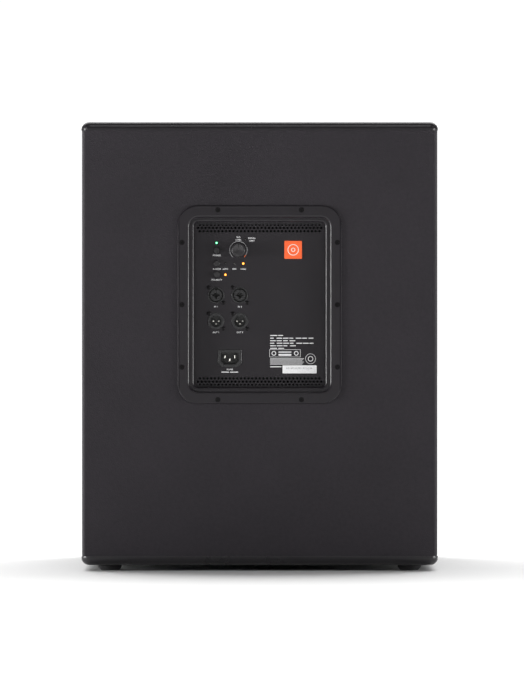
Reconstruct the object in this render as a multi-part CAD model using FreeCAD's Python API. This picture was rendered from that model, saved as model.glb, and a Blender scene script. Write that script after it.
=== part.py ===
import FreeCAD, Part
import math
import os

# Powered bass-reflex loudspeaker (subwoofer) with a recessed amplifier module in its back.
# Millimetres, +Z up, front grille towards -Y, amplifier towards +Y, the feet stand on z = 0.
# Places on the amplifier are given as (u, v): u to the right as seen from behind, v up,
# both from the module's centre, so a point's x is -u. Left and right in a name are as
# seen from the front.

# ---- cabinet and end caps ----
BODY_WIDTH = 485.0
BODY_HEIGHT = 581.0
OVERALL_DEPTH = 585.0
BOARD = 18.0
BOARD_EDGE_RADIUS = 5.0
BAFFLE_SETBACK = 30.5
BRACE_Y = 112.0
BRACE_RAIL = 45.0
CAP_HEIGHT = 12.5
CAP_OVERHANG = 1.0
CAP_FILLET = 10.0
CAP_CORNER = 12.0
CAP_SKIN = 3.0
CAP_WALL = 6.0
CAP_RIB = 3.0
FOOT_HEIGHT = 8.0
FOOT_RADIUS = 16.0
FOOT_INSET = 38.5
DISH_DEPTH = 4.0
DISH_CLEARANCE = 0.5

# ---- pocket handles and pole socket ----
HANDLE_Z = 360.0
HANDLE_FLANGE_HALF = (100.0, 62.0)
HANDLE_FLANGE = 3.0
HANDLE_BODY_HALF = (86.0, 50.0)
HANDLE_POCKET_HALF = (82.0, 46.0)
HANDLE_MOUTH_HALF = (78.0, 34.0)
HANDLE_MOUTH_DROP = 6.0
HANDLE_DEPTH = 54.0
HANDLE_WALL = 4.0
HANDLE_LIP = 14.0
POLE_FLANGE_RADIUS = 50.0
POLE_FLANGE = 4.0
POLE_SCREW_CIRCLE = 40.0
POLE_TUBE = 23.0
POLE_BORE = 17.75
POLE_BORE_DEPTH = 70.0
POLE_THREAD_BORE = 8.65
POLE_THREAD_LENGTH = 24.0

# ---- grille, foam and ports ----
GRILLE_SHEET = 1.5
GRILLE_BEND = 10.0
GRILLE_RETURN = 27.0
FOAM_THICKNESS = 6.0
PORT_X = 120.0
PORT_Z = 108.0
PORT_BORE = 50.0
PORT_WALL = 3.0
PORT_LENGTH = 160.0
PORT_LIP = 2.0

# ---- woofer: radii, and distances behind the baffle's face ----
WOOFER_Z = 366.0
WOOFER_RADIUS = 194.0
FRAME_FLANGE = 6.0
FRAME_WALL_TOP = 176.2
FRAME_FOOT = 98.0
FRAME_FOOT_RADIUS = 94.0
SPIDER_SHELF = 84.0
GASKET = 2.0
CONE_EDGE = 158.0
CONE_DEPTH = 70.0
CONE_SKIN = 1.6
SURROUND_OUT = 174.0
SURROUND_SKIN = 0.9
DUST_CAP_RADIUS = 46.0
DUST_CAP_RISE = 14.0
FORMER_IN = 37.8
FORMER_OUT = 38.2
COIL_OUT = 39.0
COIL_SPAN = (92.0, 112.0)
GAP_OUT = 39.8
POLE_PIECE = 37.2
POLE_VENT = 12.0
MAGNET_RADIUS = 95.0
MAGNET_HOLE = 52.0
STEEL_RADIUS = 86.0
TOP_PLATE = (98.0, 106.0)
MAGNET = (106.0, 126.0)
BACK_PLATE = (126.0, 134.0)

# ---- amplifier module ----
MODULE_Z = 363.4
FLANGE_PROUD = 3.0
FLANGE_HALF = (112.0, 135.2)
FLANGE_CORNER = 27.0
THROAT_HALF = (96.0, 118.8)
THROAT_CORNER = 13.0
THROAT_DEPTH = 4.5
WINDOW_HALF = (89.8, 113.0)
WINDOW_CORNER = 6.3
RECESS_DEPTH = 14.0
PANEL_SHEET = 2.0
HOUSING_DEPTH = 95.0
HOUSING_WALL = 1.5
VENT_PITCH = 5.1
VENT_RADIUS = 1.65
VENT_LONG_ROW = 34
VENT_V = 105.0
HEATSINK_U = (8.0, 80.0)
HEATSINK_V = (-96.0, 96.0)
HEATSINK_FINS = 12
BOARD_SHEET = 1.6

# ---- controls, at (u, v) on the panel ----
KNOB_AT = (-29.0, 74.6)
BUTTONS_AT = {
    "power_button": (-58.5, 74.4),
    "crossover_button": (-58.5, 56.4),
    "polarity_button": (-58.5, 41.6),
}
LEDS_AT = {
    "power_led": [(-58.9, 84.6)],
    "amber_leds": [(-22.4, 56.4), (-46.8, 41.2)],
    "unlit_leds": [(-46.6, 56.4), (-34.5, 56.4), (-19.5, 89.3)],
}
BADGE_AT = (45.8, 75.1)
KNOB_RADIUS = 9.5
KNOB_HEIGHT = 12.5
KNOB_LIFT = 0.6
KNOB_FLUTES = 18
SHAFT_IN_KNOB = 8.0
BUSH_RADIUS = 3.5
SHAFT_RADIUS = 3.0
SHAFT_CLEARANCE = 0.05
BUTTON_RADIUS = 4.0
BUTTON_PROUD = 3.2
BUTTON_FLANGE = 5.2
BUTTON_FLANGE_THICKNESS = 1.5
BUTTON_GAP = 0.3
STEM_RADIUS = 1.5
STEM_END = 9.5
SWITCH_TOP = 6.0
LED_RADIUS = 1.5
LED_PROUD = 0.9

# ---- connectors, at (u, v) on the panel ----
COMBO_JACKS_AT = {"combo_jack_1": (-59.6, 13.2), "combo_jack_2": (-27.1, 13.2)}
XLR_OUTLETS_AT = {"xlr_outlet_1": (-59.6, -22.3), "xlr_outlet_2": (-27.1, -22.3)}
INLET_AT = (-40.8, -73.3)
JACK_SCREWS = ((-9.9, 10.3), (9.9, -10.3))
JACK_COLLAR = 11.4
JACK_PROUD = 0.5
SLOT_OUT = 9.8
SLOT_IN = 7.9
XLR_DEPTH = 13.0
XLR_PIN_OFFSET = 3.81
XLR_PIN_RADIUS = 1.2
XLR_PIN_LENGTH = 10.5
PIN_ROOT = 5.0
PHONE_BORE = 3.3
INLET_PINS = ((-7.0, 2.0), (7.0, 2.0), (0.0, -2.0))
INLET_BODY = (13.6, 10.0)
INLET_CAVITY = (12.1, 8.25)
INLET_CHAMFER = 4.5
INLET_BEZEL = (16.2, 12.0)
INLET_BEZEL_PROUD = 1.2
INLET_DEPTH = 16.0

# ---- fasteners: (head radius, shank radius, length) ----
CASE_SCREW = (4.5, 2.2, 26.0)
HANDLE_SCREW = (4.5, 2.2, 17.0)
TRAY_SCREW = (3.6, 1.9, 18.0)
GRILLE_SCREW = (3.6, 1.9, 12.0)
FOOT_SCREW = (5.0, 2.5, 32.0)
WOOFER_SCREW = (4.5, 2.4, 20.0)
PANEL_SCREW = (2.8, 1.5, 8.0)
FOOT_SCREW_SEAT = 3.0
WOOFER_SCREW_CIRCLE = 188.0
HOLE_CLEARANCE = 0.1

# ---- places worked out from the dimensions above ----
HALF_WIDTH = BODY_WIDTH / 2
INNER_HALF = HALF_WIDTH - BOARD
BODY_BOTTOM = FOOT_HEIGHT + CAP_HEIGHT
BODY_TOP = BODY_BOTTOM + BODY_HEIGHT
TOTAL_HEIGHT = BODY_TOP + CAP_HEIGHT
INNER_BOTTOM = BODY_BOTTOM + BOARD
INNER_TOP = BODY_TOP - BOARD
FLANGE_FACE = OVERALL_DEPTH / 2
BACK_FACE = FLANGE_FACE - FLANGE_PROUD
BACK_INNER = BACK_FACE - BOARD
FRONT_EDGE = -OVERALL_DEPTH / 2
CAP_BACK = BACK_FACE + CAP_OVERHANG
CAP_HALF_WIDTH = HALF_WIDTH + CAP_OVERHANG
GRILLE_FRONT = FRONT_EDGE + 1.5
FOAM_FRONT = GRILLE_FRONT + GRILLE_SHEET + 0.1
BOARD_FRONT = FOAM_FRONT + FOAM_THICKNESS + 0.4
BAFFLE_FRONT = FRONT_EDGE + BAFFLE_SETBACK
PANEL_FACE = FLANGE_FACE - RECESS_DEPTH
PANEL_BACK = PANEL_FACE - PANEL_SHEET
HOUSING_BACK = PANEL_BACK - HOUSING_DEPTH
MAIN_BOARD_Y = PANEL_BACK - 48.0
CONTROL_BOARD_Y = PANEL_BACK - 12.0
INPUT_BOARD_Y = PANEL_BACK - 28.0
FOOT_X = CAP_HALF_WIDTH - FOOT_INSET
FOOT_Y = (CAP_BACK - FOOT_INSET, FRONT_EDGE + FOOT_INSET)
FOOT_PLACES = [(sx * FOOT_X, y) for sx in (-1, 1) for y in FOOT_Y]
HANDLE_SCREWS = [(a, b) for a in (-92.0, 0.0, 92.0) for b in (-56.0, 56.0)]
GRILLE_SCREW_Z = [BODY_BOTTOM + BODY_HEIGHT * share for share in (0.06, 0.36, 0.64, 0.94)]
GRILLE_SCREW_Y = GRILLE_FRONT + 21.0
TRAY_SCREWS_AT = [(s * 106.0, v) for s in (-1, 1) for v in (-85.0, 0.0, 85.0)]
TRAY_SCREWS_AT += [(u, s * 129.5) for s in (-1, 1) for u in (-57.0, 57.0)]
HOUSING_SCREWS_AT = [(s * 93.2, v) for s in (-1, 1) for v in (-75.0, 0.0, 75.0)]
HOUSING_SCREWS_AT += [(0.0, s * 116.0) for s in (-1, 1)]
JACKS_AT = list(COMBO_JACKS_AT.values()) + list(XLR_OUTLETS_AT.values())
JACK_SCREWS_AT = [(u + du, v + dv) for u, v in JACKS_AT for du, dv in JACK_SCREWS]
XLR_PINS = ((-XLR_PIN_OFFSET, 0.0), (XLR_PIN_OFFSET, 0.0), (0.0, -XLR_PIN_OFFSET))
TERMINAL_Z = WOOFER_Z - FRAME_FOOT_RADIUS
PLUG_END = BAFFLE_FRONT + 107.0

# ---- internal speaker lead, from the amplifier over the brace's middle rail to the woofer ----
CABLE_RADIUS = 3.0
CABLE_ROUTE = [
    (40.0, HOUSING_BACK + 6.0, 345.0), (40.0, 168.0, 345.0), (38.0, 146.0, 341.0), (34.0, 121.0, 339.5),
    (30.0, 92.0, 336.0), (26.0, 52.0, 318.0), (22.0, 6.0, 298.0), (17.0, -42.0, 280.0), (11.0, -84.0, 268.0),
    (4.0, -116.0, 263.0), (0.0, -138.0, 263.5), (0.0, PLUG_END, 263.5),
]

UP = FreeCAD.Vector(0, 0, 1)
BACKWARD = FreeCAD.Vector(0, 1, 0)
FORWARD = FreeCAD.Vector(0, -1, 0)


def vector(x, y, z):
    return FreeCAD.Vector(x, y, z)


def on_panel(spot, y):
    """The point of the amplifier module at (u, v), at depth y."""
    return vector(-spot[0], y, MODULE_Z + spot[1])


def block(x, y, z):
    """A box between two limits on each axis."""
    return Part.makeBox(x[1] - x[0], y[1] - y[0], z[1] - z[0], vector(x[0], y[0], z[0]))


def rod(radius, start, direction, length):
    return Part.makeCylinder(radius, length, start, direction)


def fused(shapes):
    return shapes[0].multiFuse(shapes[1:]).removeSplitter()


def rounded_outline(half_a, half_b, radius):
    """A closed rounded rectangle about the origin of the XY plane, with true arcs."""
    a, b = half_a - radius, half_b - radius
    k = radius * math.sqrt(0.5)
    edges = []
    corners = ((a, b, 1, 1), (-a, b, -1, 1), (-a, -b, -1, -1), (a, -b, 1, -1))
    ends = []
    for cx, cy, sx, sy in corners:
        side = vector(cx + sx * radius, cy, 0)
        flat = vector(cx, cy + sy * radius, 0)
        middle = vector(cx + sx * k, cy + sy * k, 0)
        first, last = (side, flat) if sx * sy > 0 else (flat, side)
        edges.append(Part.Arc(first, middle, last).toShape())
        ends.append((first, last))
    for (_, last), (first, _) in zip(ends, ends[1:] + ends[:1]):
        edges.append(Part.LineSegment(last, first).toShape())
    return Part.Wire(Part.__sortEdges__(edges))


def grown(half, by):
    """A pair of half sizes, each made larger by the same amount."""
    return half[0] + by, half[1] + by


def slab(half_a, half_b, radius, low, high):
    """A rounded rectangle in plan, extruded from z low to z high."""
    outline = rounded_outline(half_a, half_b, radius)
    outline.translate(vector(0, 0, low))
    return Part.Face(outline).extrude(vector(0, 0, high - low))


def facing_back(shape, spot=(0.0, 0.0)):
    """Turns a shape drawn in plan (x = u, y = v, z = height) to face backward at (u, v)."""
    turned = shape.copy()
    turned.rotate(vector(0, 0, 0), vector(1, 0, 0), 90)
    turned.rotate(vector(0, 0, 0), UP, 180)
    turned.translate(vector(-spot[0], 0, MODULE_Z + spot[1]))
    return turned


def plate(half, radius, low, high, spot=(0.0, 0.0)):
    """A rounded rectangular plate on the back of the module, between two y depths."""
    return facing_back(slab(half[0], half[1], radius, low, high), spot)


def turned_profile(points, centre, direction):
    """Revolves a closed (radius, height) outline about an axis through centre."""
    outline = Part.makePolygon([vector(r, 0, h) for r, h in points + points[:1]])
    return place(Part.Face(outline).revolve(vector(0, 0, 0), UP, 360), centre, direction)


def place(shape, centre, direction):
    """Moves a shape drawn about +Z to centre, with its +Z along direction."""
    moved = shape.copy()
    moved.Placement = FreeCAD.Placement(centre, FreeCAD.Rotation(UP, direction))
    return moved


def edges_near(shape, keep):
    """The edges whose middle point satisfies keep."""
    return [e for e in shape.Edges if keep(e.valueAt((e.FirstParameter + e.LastParameter) / 2))]


def cross_recess(head_radius, top, depth):
    arms = []
    for angle in (0, 90):
        arm = Part.makeBox(1.3 * head_radius, 0.28 * head_radius, depth)
        arm.translate(vector(-0.65 * head_radius, -0.14 * head_radius, top - depth))
        arm.rotate(vector(0, 0, 0), UP, angle)
        arms.append(arm)
    return fused(arms)


def countersunk_screw(size):
    """A flat-headed screw with its head's face at z = 0 and its tip downward."""
    head_radius, shank_radius, length = size
    sink = head_radius - shank_radius
    outline = [(0, 0), (head_radius, 0), (shank_radius, -sink), (shank_radius, 3 - length), (0, -length)]
    body = turned_profile(outline, vector(0, 0, 0), UP)
    return body.cut(cross_recess(head_radius, 0, 0.6 * sink))


def pan_screw(size):
    """A domed screw with the underside of its head at z = 0 and its tip downward."""
    head_radius, shank_radius, length = size
    head_height = 0.6 * head_radius
    crown = Part.makeSphere(1.6 * head_radius, vector(0, 0, head_height - 1.6 * head_radius))
    head = Part.makeCylinder(head_radius, head_height).common(crown)
    body = fused([head, Part.makeCylinder(shank_radius, length, vector(0, 0, -length))])
    return body.cut(cross_recess(head_radius, head_height, 0.55 * head_height))


def sunk_hole(size):
    """The hole that a countersunk screw fills, as a cutting tool."""
    head, shank = size[0] + HOLE_CLEARANCE, size[1] + HOLE_CLEARANCE
    end = -size[2] - 0.5
    outline = [(0, 0.5), (head, 0.5), (head, 0), (shank, shank - head), (shank, end), (0, end)]
    return turned_profile(outline, vector(0, 0, 0), UP)


# ---- fasteners: where each stands and which way its head faces ----
def case_screw_places():
    """(point on the head's face, outward direction, size) of each countersunk cabinet screw."""
    places = [(vector(x, y, TOTAL_HEIGHT - DISH_DEPTH), UP, CASE_SCREW) for x, y in FOOT_PLACES]
    for quarter in range(4):
        angle = math.radians(45 + 90 * quarter)
        spot = vector(POLE_SCREW_CIRCLE * math.cos(angle), POLE_SCREW_CIRCLE * math.sin(angle), TOTAL_HEIGHT)
        places.append((spot, UP, CASE_SCREW))
    for side in (-1, 1):
        for along, up in HANDLE_SCREWS:
            spot = vector(side * HALF_WIDTH, along, HANDLE_Z + up)
            places.append((spot, vector(side, 0, 0), HANDLE_SCREW))
    return places


def cabinet_screws():
    places = case_screw_places()
    return Part.makeCompound([place(countersunk_screw(size), at, out) for at, out, size in places])


def cut_case_screws(shape):
    """Drills a shape for every cabinet screw that reaches it."""
    for at, out, size in case_screw_places():
        hole = place(sunk_hole(size), at, out)
        if hole.BoundBox.intersect(shape.BoundBox):
            shape = shape.cut(hole)
    return shape


# ---- wooden cabinet ----
def handle_slab(half, radius, side, inner, outer, lift=0.0):
    """A rounded block with its long side along Y, from |x| = inner to |x| = outer."""
    shape = Part.Face(rounded_outline(half[0], half[1], radius)).extrude(vector(0, 0, outer - inner))
    to_side = FreeCAD.Matrix(0, 0, side, side * inner, side, 0, 0, 0, 0, 1, 0, HANDLE_Z + lift, 0, 0, 0, 1)
    return shape.transformed(to_side)


def side_panel(side):
    """A side board: rounded back edge, rebated front edge for the grille, handle cut-out."""
    outer = side * HALF_WIDTH
    inner = side * INNER_HALF
    low, high = sorted((inner, outer))
    board = block((low, high), (BOARD_FRONT, BACK_FACE), (BODY_BOTTOM, BODY_TOP))
    back_edge = edges_near(board, lambda p: abs(p.x - outer) < 0.1 and abs(p.y - BACK_FACE) < 0.1)
    board = board.makeFillet(BOARD_EDGE_RADIUS, back_edge)
    rebate = GRILLE_SHEET + 0.2
    low, high = sorted((outer - side * rebate, outer + side))
    board = board.cut(block((low, high), (FRONT_EDGE, GRILLE_FRONT + GRILLE_RETURN + 0.5), (0, TOTAL_HEIGHT)))
    lip = outer - side * rebate
    front_edge = edges_near(board, lambda p: abs(p.x - lip) < 0.1 and abs(p.y - BOARD_FRONT) < 0.1)
    board = board.makeChamfer(4.0, front_edge)
    gap = 0.4
    seat_floor = HALF_WIDTH - HANDLE_FLANGE
    seat = handle_slab(grown(HANDLE_FLANGE_HALF, gap), 12 + gap, side, seat_floor, HALF_WIDTH + 5)
    hole = handle_slab(grown(HANDLE_BODY_HALF, 1), 8, side, INNER_HALF - 5, HALF_WIDTH)
    board = board.cut(fused([seat, hole]))
    for at, out in grille_screw_places():
        if at.x * side > 0:
            board = board.cut(place(sunk_hole(GRILLE_SCREW), at, out))
    return cut_case_screws(board)


def top_panel():
    board = block((-INNER_HALF, INNER_HALF), (BOARD_FRONT, BACK_INNER), (INNER_TOP, BODY_TOP))
    board = board.cut(rod(POLE_TUBE + 2, vector(0, 0, INNER_TOP - 1), UP, BOARD + 2))
    return cut_case_screws(board)


def bottom_panel():
    board = block((-INNER_HALF, INNER_HALF), (BOARD_FRONT, BACK_INNER), (BODY_BOTTOM, INNER_BOTTOM))
    for x, y in FOOT_PLACES:
        board = board.cut(foot_screw_hole(x, y))
    return board


def cut_tray_screws(shape):
    for spot in TRAY_SCREWS_AT:
        shape = shape.cut(place(sunk_hole(TRAY_SCREW), on_panel(spot, FLANGE_FACE), BACKWARD))
    return shape


def back_panel():
    board = block((-INNER_HALF, INNER_HALF), (BACK_INNER, BACK_FACE), (BODY_BOTTOM, BODY_TOP))
    board = board.cut(plate(grown(THROAT_HALF, 4), THROAT_CORNER + 4, BACK_INNER - 1, BACK_FACE + 1))
    return cut_tray_screws(board)


def front_baffle():
    board = block((-INNER_HALF, INNER_HALF), (BAFFLE_FRONT, BAFFLE_FRONT + BOARD), (INNER_BOTTOM, INNER_TOP))
    centre = vector(0, BAFFLE_FRONT - 1, WOOFER_Z)
    tools = [
        rod(WOOFER_RADIUS + 0.5, centre, BACKWARD, FRAME_FLANGE + 1),
        rod(FRAME_WALL_TOP + 0.8, centre, BACKWARD, BOARD + 2),
    ]
    for side in (-1, 1):
        port = vector(side * PORT_X, BAFFLE_FRONT - 1, PORT_Z)
        tools.append(rod(PORT_BORE + PORT_WALL + HOLE_CLEARANCE, port, BACKWARD, BOARD + 2))
    for at in woofer_screw_places():
        tools.append(rod(WOOFER_SCREW[1] + HOLE_CLEARANCE, at, BACKWARD, WOOFER_SCREW[2] + 1))
    return board.cut(fused(tools))


def window_brace():
    brace = block((-INNER_HALF, INNER_HALF), (BRACE_Y, BRACE_Y + BOARD), (INNER_BOTTOM, INNER_TOP))
    rail = BRACE_RAIL
    middle = (INNER_BOTTOM + INNER_TOP) / 2
    openings = ((INNER_BOTTOM + rail, middle - rail / 2), (middle + rail / 2, INNER_TOP - rail))
    for low, high in openings:
        window = slab(INNER_HALF - rail, (high - low) / 2, 30, 0, BOARD + 2)
        window = place(window, vector(0, BRACE_Y + BOARD + 1, (low + high) / 2), FORWARD)
        brace = brace.cut(window)
    return brace


# ---- end caps and feet ----
def cap_blank(low):
    """A full cap slab with its upper outer edge rounded, standing on z = low."""
    middle = (FRONT_EDGE + CAP_BACK) / 2
    blank = slab(CAP_HALF_WIDTH, (CAP_BACK - FRONT_EDGE) / 2, CAP_CORNER, low, low + CAP_HEIGHT)
    blank.translate(vector(0, middle, 0))
    return blank.makeFillet(CAP_FILLET, edges_near(blank, lambda p: p.z > low + CAP_HEIGHT - 0.01))


def cap_pockets(low, bosses):
    """Pockets that leave the cap a thin skin, crossing ribs and solid bosses."""
    columns, rows = 4, 5
    left, front = -CAP_HALF_WIDTH + CAP_WALL, FRONT_EDGE + CAP_WALL
    step_x = (2 * (CAP_HALF_WIDTH - CAP_WALL) + CAP_RIB) / columns
    step_y = (CAP_BACK - FRONT_EDGE - 2 * CAP_WALL + CAP_RIB) / rows
    depth = CAP_HEIGHT - CAP_SKIN
    pockets = []
    for i in range(columns):
        for j in range(rows):
            x, y = left + i * step_x, front + j * step_y
            pocket = block((x, x + step_x - CAP_RIB), (y, y + step_y - CAP_RIB), (low, low + depth))
            for cx, cy, radius in bosses:
                if pocket.BoundBox.intersect(rod(radius, vector(cx, cy, low), UP, depth).BoundBox):
                    pocket = pocket.cut(rod(radius, vector(cx, cy, low), UP, depth))
            pockets.append(pocket)
    return Part.makeCompound(pockets)


def top_cap():
    low = BODY_TOP
    bosses = [(x, y, FOOT_RADIUS + 7) for x, y in FOOT_PLACES] + [(0, 0, POLE_FLANGE_RADIUS + 5)]
    cap = cap_blank(low).cut(cap_pockets(low, bosses))
    for x, y in FOOT_PLACES:
        base, rim = FOOT_RADIUS + DISH_CLEARANCE, FOOT_RADIUS + DISH_CLEARANCE + 2
        dish = [(0, 0), (base, 0), (rim, DISH_DEPTH + 0.5), (0, DISH_DEPTH + 0.5)]
        cap = cap.cut(turned_profile(dish, vector(x, y, TOTAL_HEIGHT - DISH_DEPTH), UP))
    seat = vector(0, 0, TOTAL_HEIGHT - POLE_FLANGE)
    cap = cap.cut(rod(POLE_FLANGE_RADIUS + 0.2, seat, UP, POLE_FLANGE + 1))
    cap = cap.cut(rod(POLE_TUBE + 2, vector(0, 0, low - 1), UP, CAP_HEIGHT + 2))
    return cut_case_screws(cap)


def bottom_cap():
    """The same cap upside down, with a hole for each foot's screw."""
    bosses = [(x, y, FOOT_RADIUS + 3) for x, y in FOOT_PLACES]
    cap = cap_blank(0).cut(cap_pockets(0, bosses))
    mirrored = cap.mirror(vector(0, 0, 0), UP)
    mirrored.translate(vector(0, 0, BODY_BOTTOM))
    for x, y in FOOT_PLACES:
        mirrored = mirrored.cut(foot_screw_hole(x, y))
    return mirrored


def foot_screw_hole(x, y):
    return rod(FOOT_SCREW[1] + HOLE_CLEARANCE, vector(x, y, 0), UP, FOOT_SCREW_SEAT + FOOT_SCREW[2] + 0.5)


def rubber_feet():
    """Tapered feet with a round-edged tread and a well for the screw's head."""
    hole, well = FOOT_SCREW[1] + HOLE_CLEARANCE, FOOT_SCREW[0] + 1
    outline = [(hole, FOOT_HEIGHT), (FOOT_RADIUS, FOOT_HEIGHT), (FOOT_RADIUS, 4.5), (FOOT_RADIUS - 3, 0.8),
               (FOOT_RADIUS - 4, 0), (well, 0), (well, FOOT_SCREW_SEAT), (hole, FOOT_SCREW_SEAT)]
    return Part.makeCompound([turned_profile(outline, vector(x, y, 0), UP) for x, y in FOOT_PLACES])


def foot_screws():
    down = vector(0, 0, -1)
    screw = pan_screw((FOOT_SCREW[0] - 0.5, FOOT_SCREW[1], FOOT_SCREW[2]))
    return Part.makeCompound([place(screw, vector(x, y, FOOT_SCREW_SEAT), down) for x, y in FOOT_PLACES])


# ---- pocket handles and pole socket ----
def handle_cup(side):
    """A moulded pocket with a finger grip behind its upper lip."""
    rim = side * HALF_WIDTH
    floor = HALF_WIDTH - HANDLE_DEPTH
    flange_inner = HALF_WIDTH - HANDLE_FLANGE
    lip = HALF_WIDTH - HANDLE_LIP
    flange = handle_slab(HANDLE_FLANGE_HALF, 12, side, flange_inner, HALF_WIDTH)
    body = handle_slab(HANDLE_BODY_HALF, 7, side, floor - HANDLE_WALL, flange_inner)
    mouth = handle_slab(HANDLE_MOUTH_HALF, 12, side, lip, HALF_WIDTH + 5, -HANDLE_MOUTH_DROP)
    pocket = handle_slab(HANDLE_POCKET_HALF, 8, side, floor, lip + 1)
    cup = fused([flange, body]).cut(mouth).cut(pocket)

    def on_mouth(p):
        along, up = grown(HANDLE_MOUTH_HALF, 1)
        return abs(p.x - rim) < 0.1 and abs(p.y) < along and abs(p.z - HANDLE_Z + HANDLE_MOUTH_DROP) < up

    cup = cup.makeFillet(3.5, edges_near(cup, on_mouth))
    return cut_case_screws(cup)


def pole_socket():
    """Flanged tube: smooth bore for a speaker pole, threaded seat at its foot."""
    top = TOTAL_HEIGHT
    seat = top - POLE_BORE_DEPTH
    bottom = seat - POLE_THREAD_LENGTH
    outline = [(POLE_BORE, 0), (POLE_FLANGE_RADIUS, 0), (POLE_FLANGE_RADIUS, -POLE_FLANGE),
               (POLE_TUBE, -POLE_FLANGE), (POLE_TUBE, bottom - top), (POLE_THREAD_BORE, bottom - top),
               (POLE_THREAD_BORE, seat - top), (POLE_BORE, seat - top)]
    return cut_case_screws(turned_profile(outline, vector(0, 0, top), UP))


# ---- front grille and foam ----
def grille():
    """A sheet across the whole front, folded back along both sides; its perforation is left out."""
    half = HALF_WIDTH
    back = GRILLE_FRONT + GRILLE_RETURN
    low, high = BODY_BOTTOM + 0.5, BODY_TOP - 0.5

    def folded(inset, bend):
        x, y = half - inset, GRILLE_FRONT + inset
        k = bend * math.sqrt(0.5)
        cx, cy = x - bend, y + bend
        left = Part.Arc(vector(-x, cy, low), vector(-cx - k, cy - k, low), vector(-cx, y, low))
        right = Part.Arc(vector(cx, y, low), vector(cx + k, cy - k, low), vector(x, cy, low))
        return [
            Part.LineSegment(vector(-x, back, low), vector(-x, cy, low)).toShape(), left.toShape(),
            Part.LineSegment(vector(-cx, y, low), vector(cx, y, low)).toShape(), right.toShape(),
            Part.LineSegment(vector(x, cy, low), vector(x, back, low)).toShape(),
        ]

    inner_x = half - GRILLE_SHEET
    edges = folded(0.0, GRILLE_BEND) + folded(GRILLE_SHEET, GRILLE_BEND - GRILLE_SHEET)
    for side in (-1, 1):
        ends = vector(side * half, back, low), vector(side * inner_x, back, low)
        edges.append(Part.LineSegment(*ends).toShape())
    outline = Part.Wire(Part.__sortEdges__(edges))
    sheet = Part.Face(outline).extrude(vector(0, 0, high - low))
    for at, out in grille_screw_places():
        sheet = sheet.cut(place(sunk_hole(GRILLE_SCREW), at, out))
    return sheet


def grille_screw_places():
    """(point on the head's face, outward direction) of each screw in the grille's folded sides."""
    spots = [(side, z) for side in (-1, 1) for z in GRILLE_SCREW_Z]
    return [(vector(side * HALF_WIDTH, GRILLE_SCREW_Y, z), vector(side, 0, 0)) for side, z in spots]


def grille_screws():
    screw = countersunk_screw(GRILLE_SCREW)
    return Part.makeCompound([place(screw, at, out) for at, out in grille_screw_places()])


def grille_foam():
    half = HALF_WIDTH - GRILLE_BEND - 0.5
    return block((-half, half), (FOAM_FRONT, FOAM_FRONT + FOAM_THICKNESS), (BODY_BOTTOM + 1, BODY_TOP - 1))


def port_tube(side):
    """A reflex port: flared front flange and a straight tube behind the baffle."""
    lip = PORT_LIP
    outer = PORT_BORE + PORT_WALL
    outline = [(PORT_BORE, PORT_LENGTH), (PORT_BORE, 4), (PORT_BORE + 2, 0), (PORT_BORE + 5, -lip),
               (outer + 8, -lip), (outer + 8, 0), (outer, 0), (outer, PORT_LENGTH)]
    return turned_profile(outline, vector(side * PORT_X, BAFFLE_FRONT, PORT_Z), BACKWARD)


# ---- woofer, drawn as (radius, distance behind the baffle's face) ----
def woofer_turned(points):
    return turned_profile(points, vector(0, BAFFLE_FRONT, WOOFER_Z), BACKWARD)


def woofer_screw_places():
    """The points on the gasket's face where the eight frame screws enter."""
    places = []
    for eighth in range(8):
        angle = math.radians(22.5 + 45 * eighth)
        x, z = WOOFER_SCREW_CIRCLE * math.cos(angle), WOOFER_SCREW_CIRCLE * math.sin(angle)
        places.append(vector(x, BAFFLE_FRONT - GASKET, WOOFER_Z + z))
    return places


def drill_woofer(shape):
    """Drills the frame's eight screw holes through a shape."""
    for at in woofer_screw_places():
        shape = shape.cut(rod(WOOFER_SCREW[1] + HOLE_CLEARANCE, at + FORWARD, BACKWARD, WOOFER_SCREW[2]))
    return shape


def woofer_frame():
    """A cast basket: flat flange, six sloping spokes, spider shelf and magnet seat."""
    rim, foot = SURROUND_OUT - 0.5, FRAME_FOOT_RADIUS
    outline = [(rim, 0), (WOOFER_RADIUS, 0), (WOOFER_RADIUS, FRAME_FLANGE), (FRAME_WALL_TOP, FRAME_FLANGE),
               (172, 14), (foot, 88), (foot, FRAME_FOOT), (46, FRAME_FOOT), (46, 93), (78, 93),
               (78, SPIDER_SHELF), (90, SPIDER_SHELF), (168.5, 10), (rim, 6)]
    frame = woofer_turned(outline)
    for sixth in range(6):
        window = Part.makeCylinder(190, 54, vector(0, 0, 0), UP, 42)
        window.rotate(vector(0, 0, 0), UP, 60 * sixth - 21)
        frame = frame.cut(place(window, vector(0, BAFFLE_FRONT + 25, WOOFER_Z), BACKWARD))
    return drill_woofer(frame)


def woofer_gasket():
    inner, outer = 182, WOOFER_RADIUS
    ring = woofer_turned([(inner, 0), (outer, 0), (outer, -GASKET), (inner, -GASKET)])
    return drill_woofer(ring)


def woofer_screws():
    screw = pan_screw(WOOFER_SCREW)
    return Part.makeCompound([place(screw, at, FORWARD) for at in woofer_screw_places()])


def woofer_top_plate():
    near, far = TOP_PLATE
    return woofer_turned([(GAP_OUT, near), (STEEL_RADIUS, near), (STEEL_RADIUS, far), (GAP_OUT, far)])


def woofer_magnet():
    near, far = MAGNET
    inner, outer = MAGNET_HOLE, MAGNET_RADIUS
    return woofer_turned([(inner, near), (outer, near), (outer, far), (inner, far)])


def woofer_back_plate():
    """The back plate with its vented pole piece."""
    near, far = BACK_PLATE
    tip = TOP_PLATE[0]
    return woofer_turned([(POLE_VENT, tip), (POLE_PIECE, tip), (POLE_PIECE, near),
                          (STEEL_RADIUS, near), (STEEL_RADIUS, far), (POLE_VENT, far)])


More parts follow.
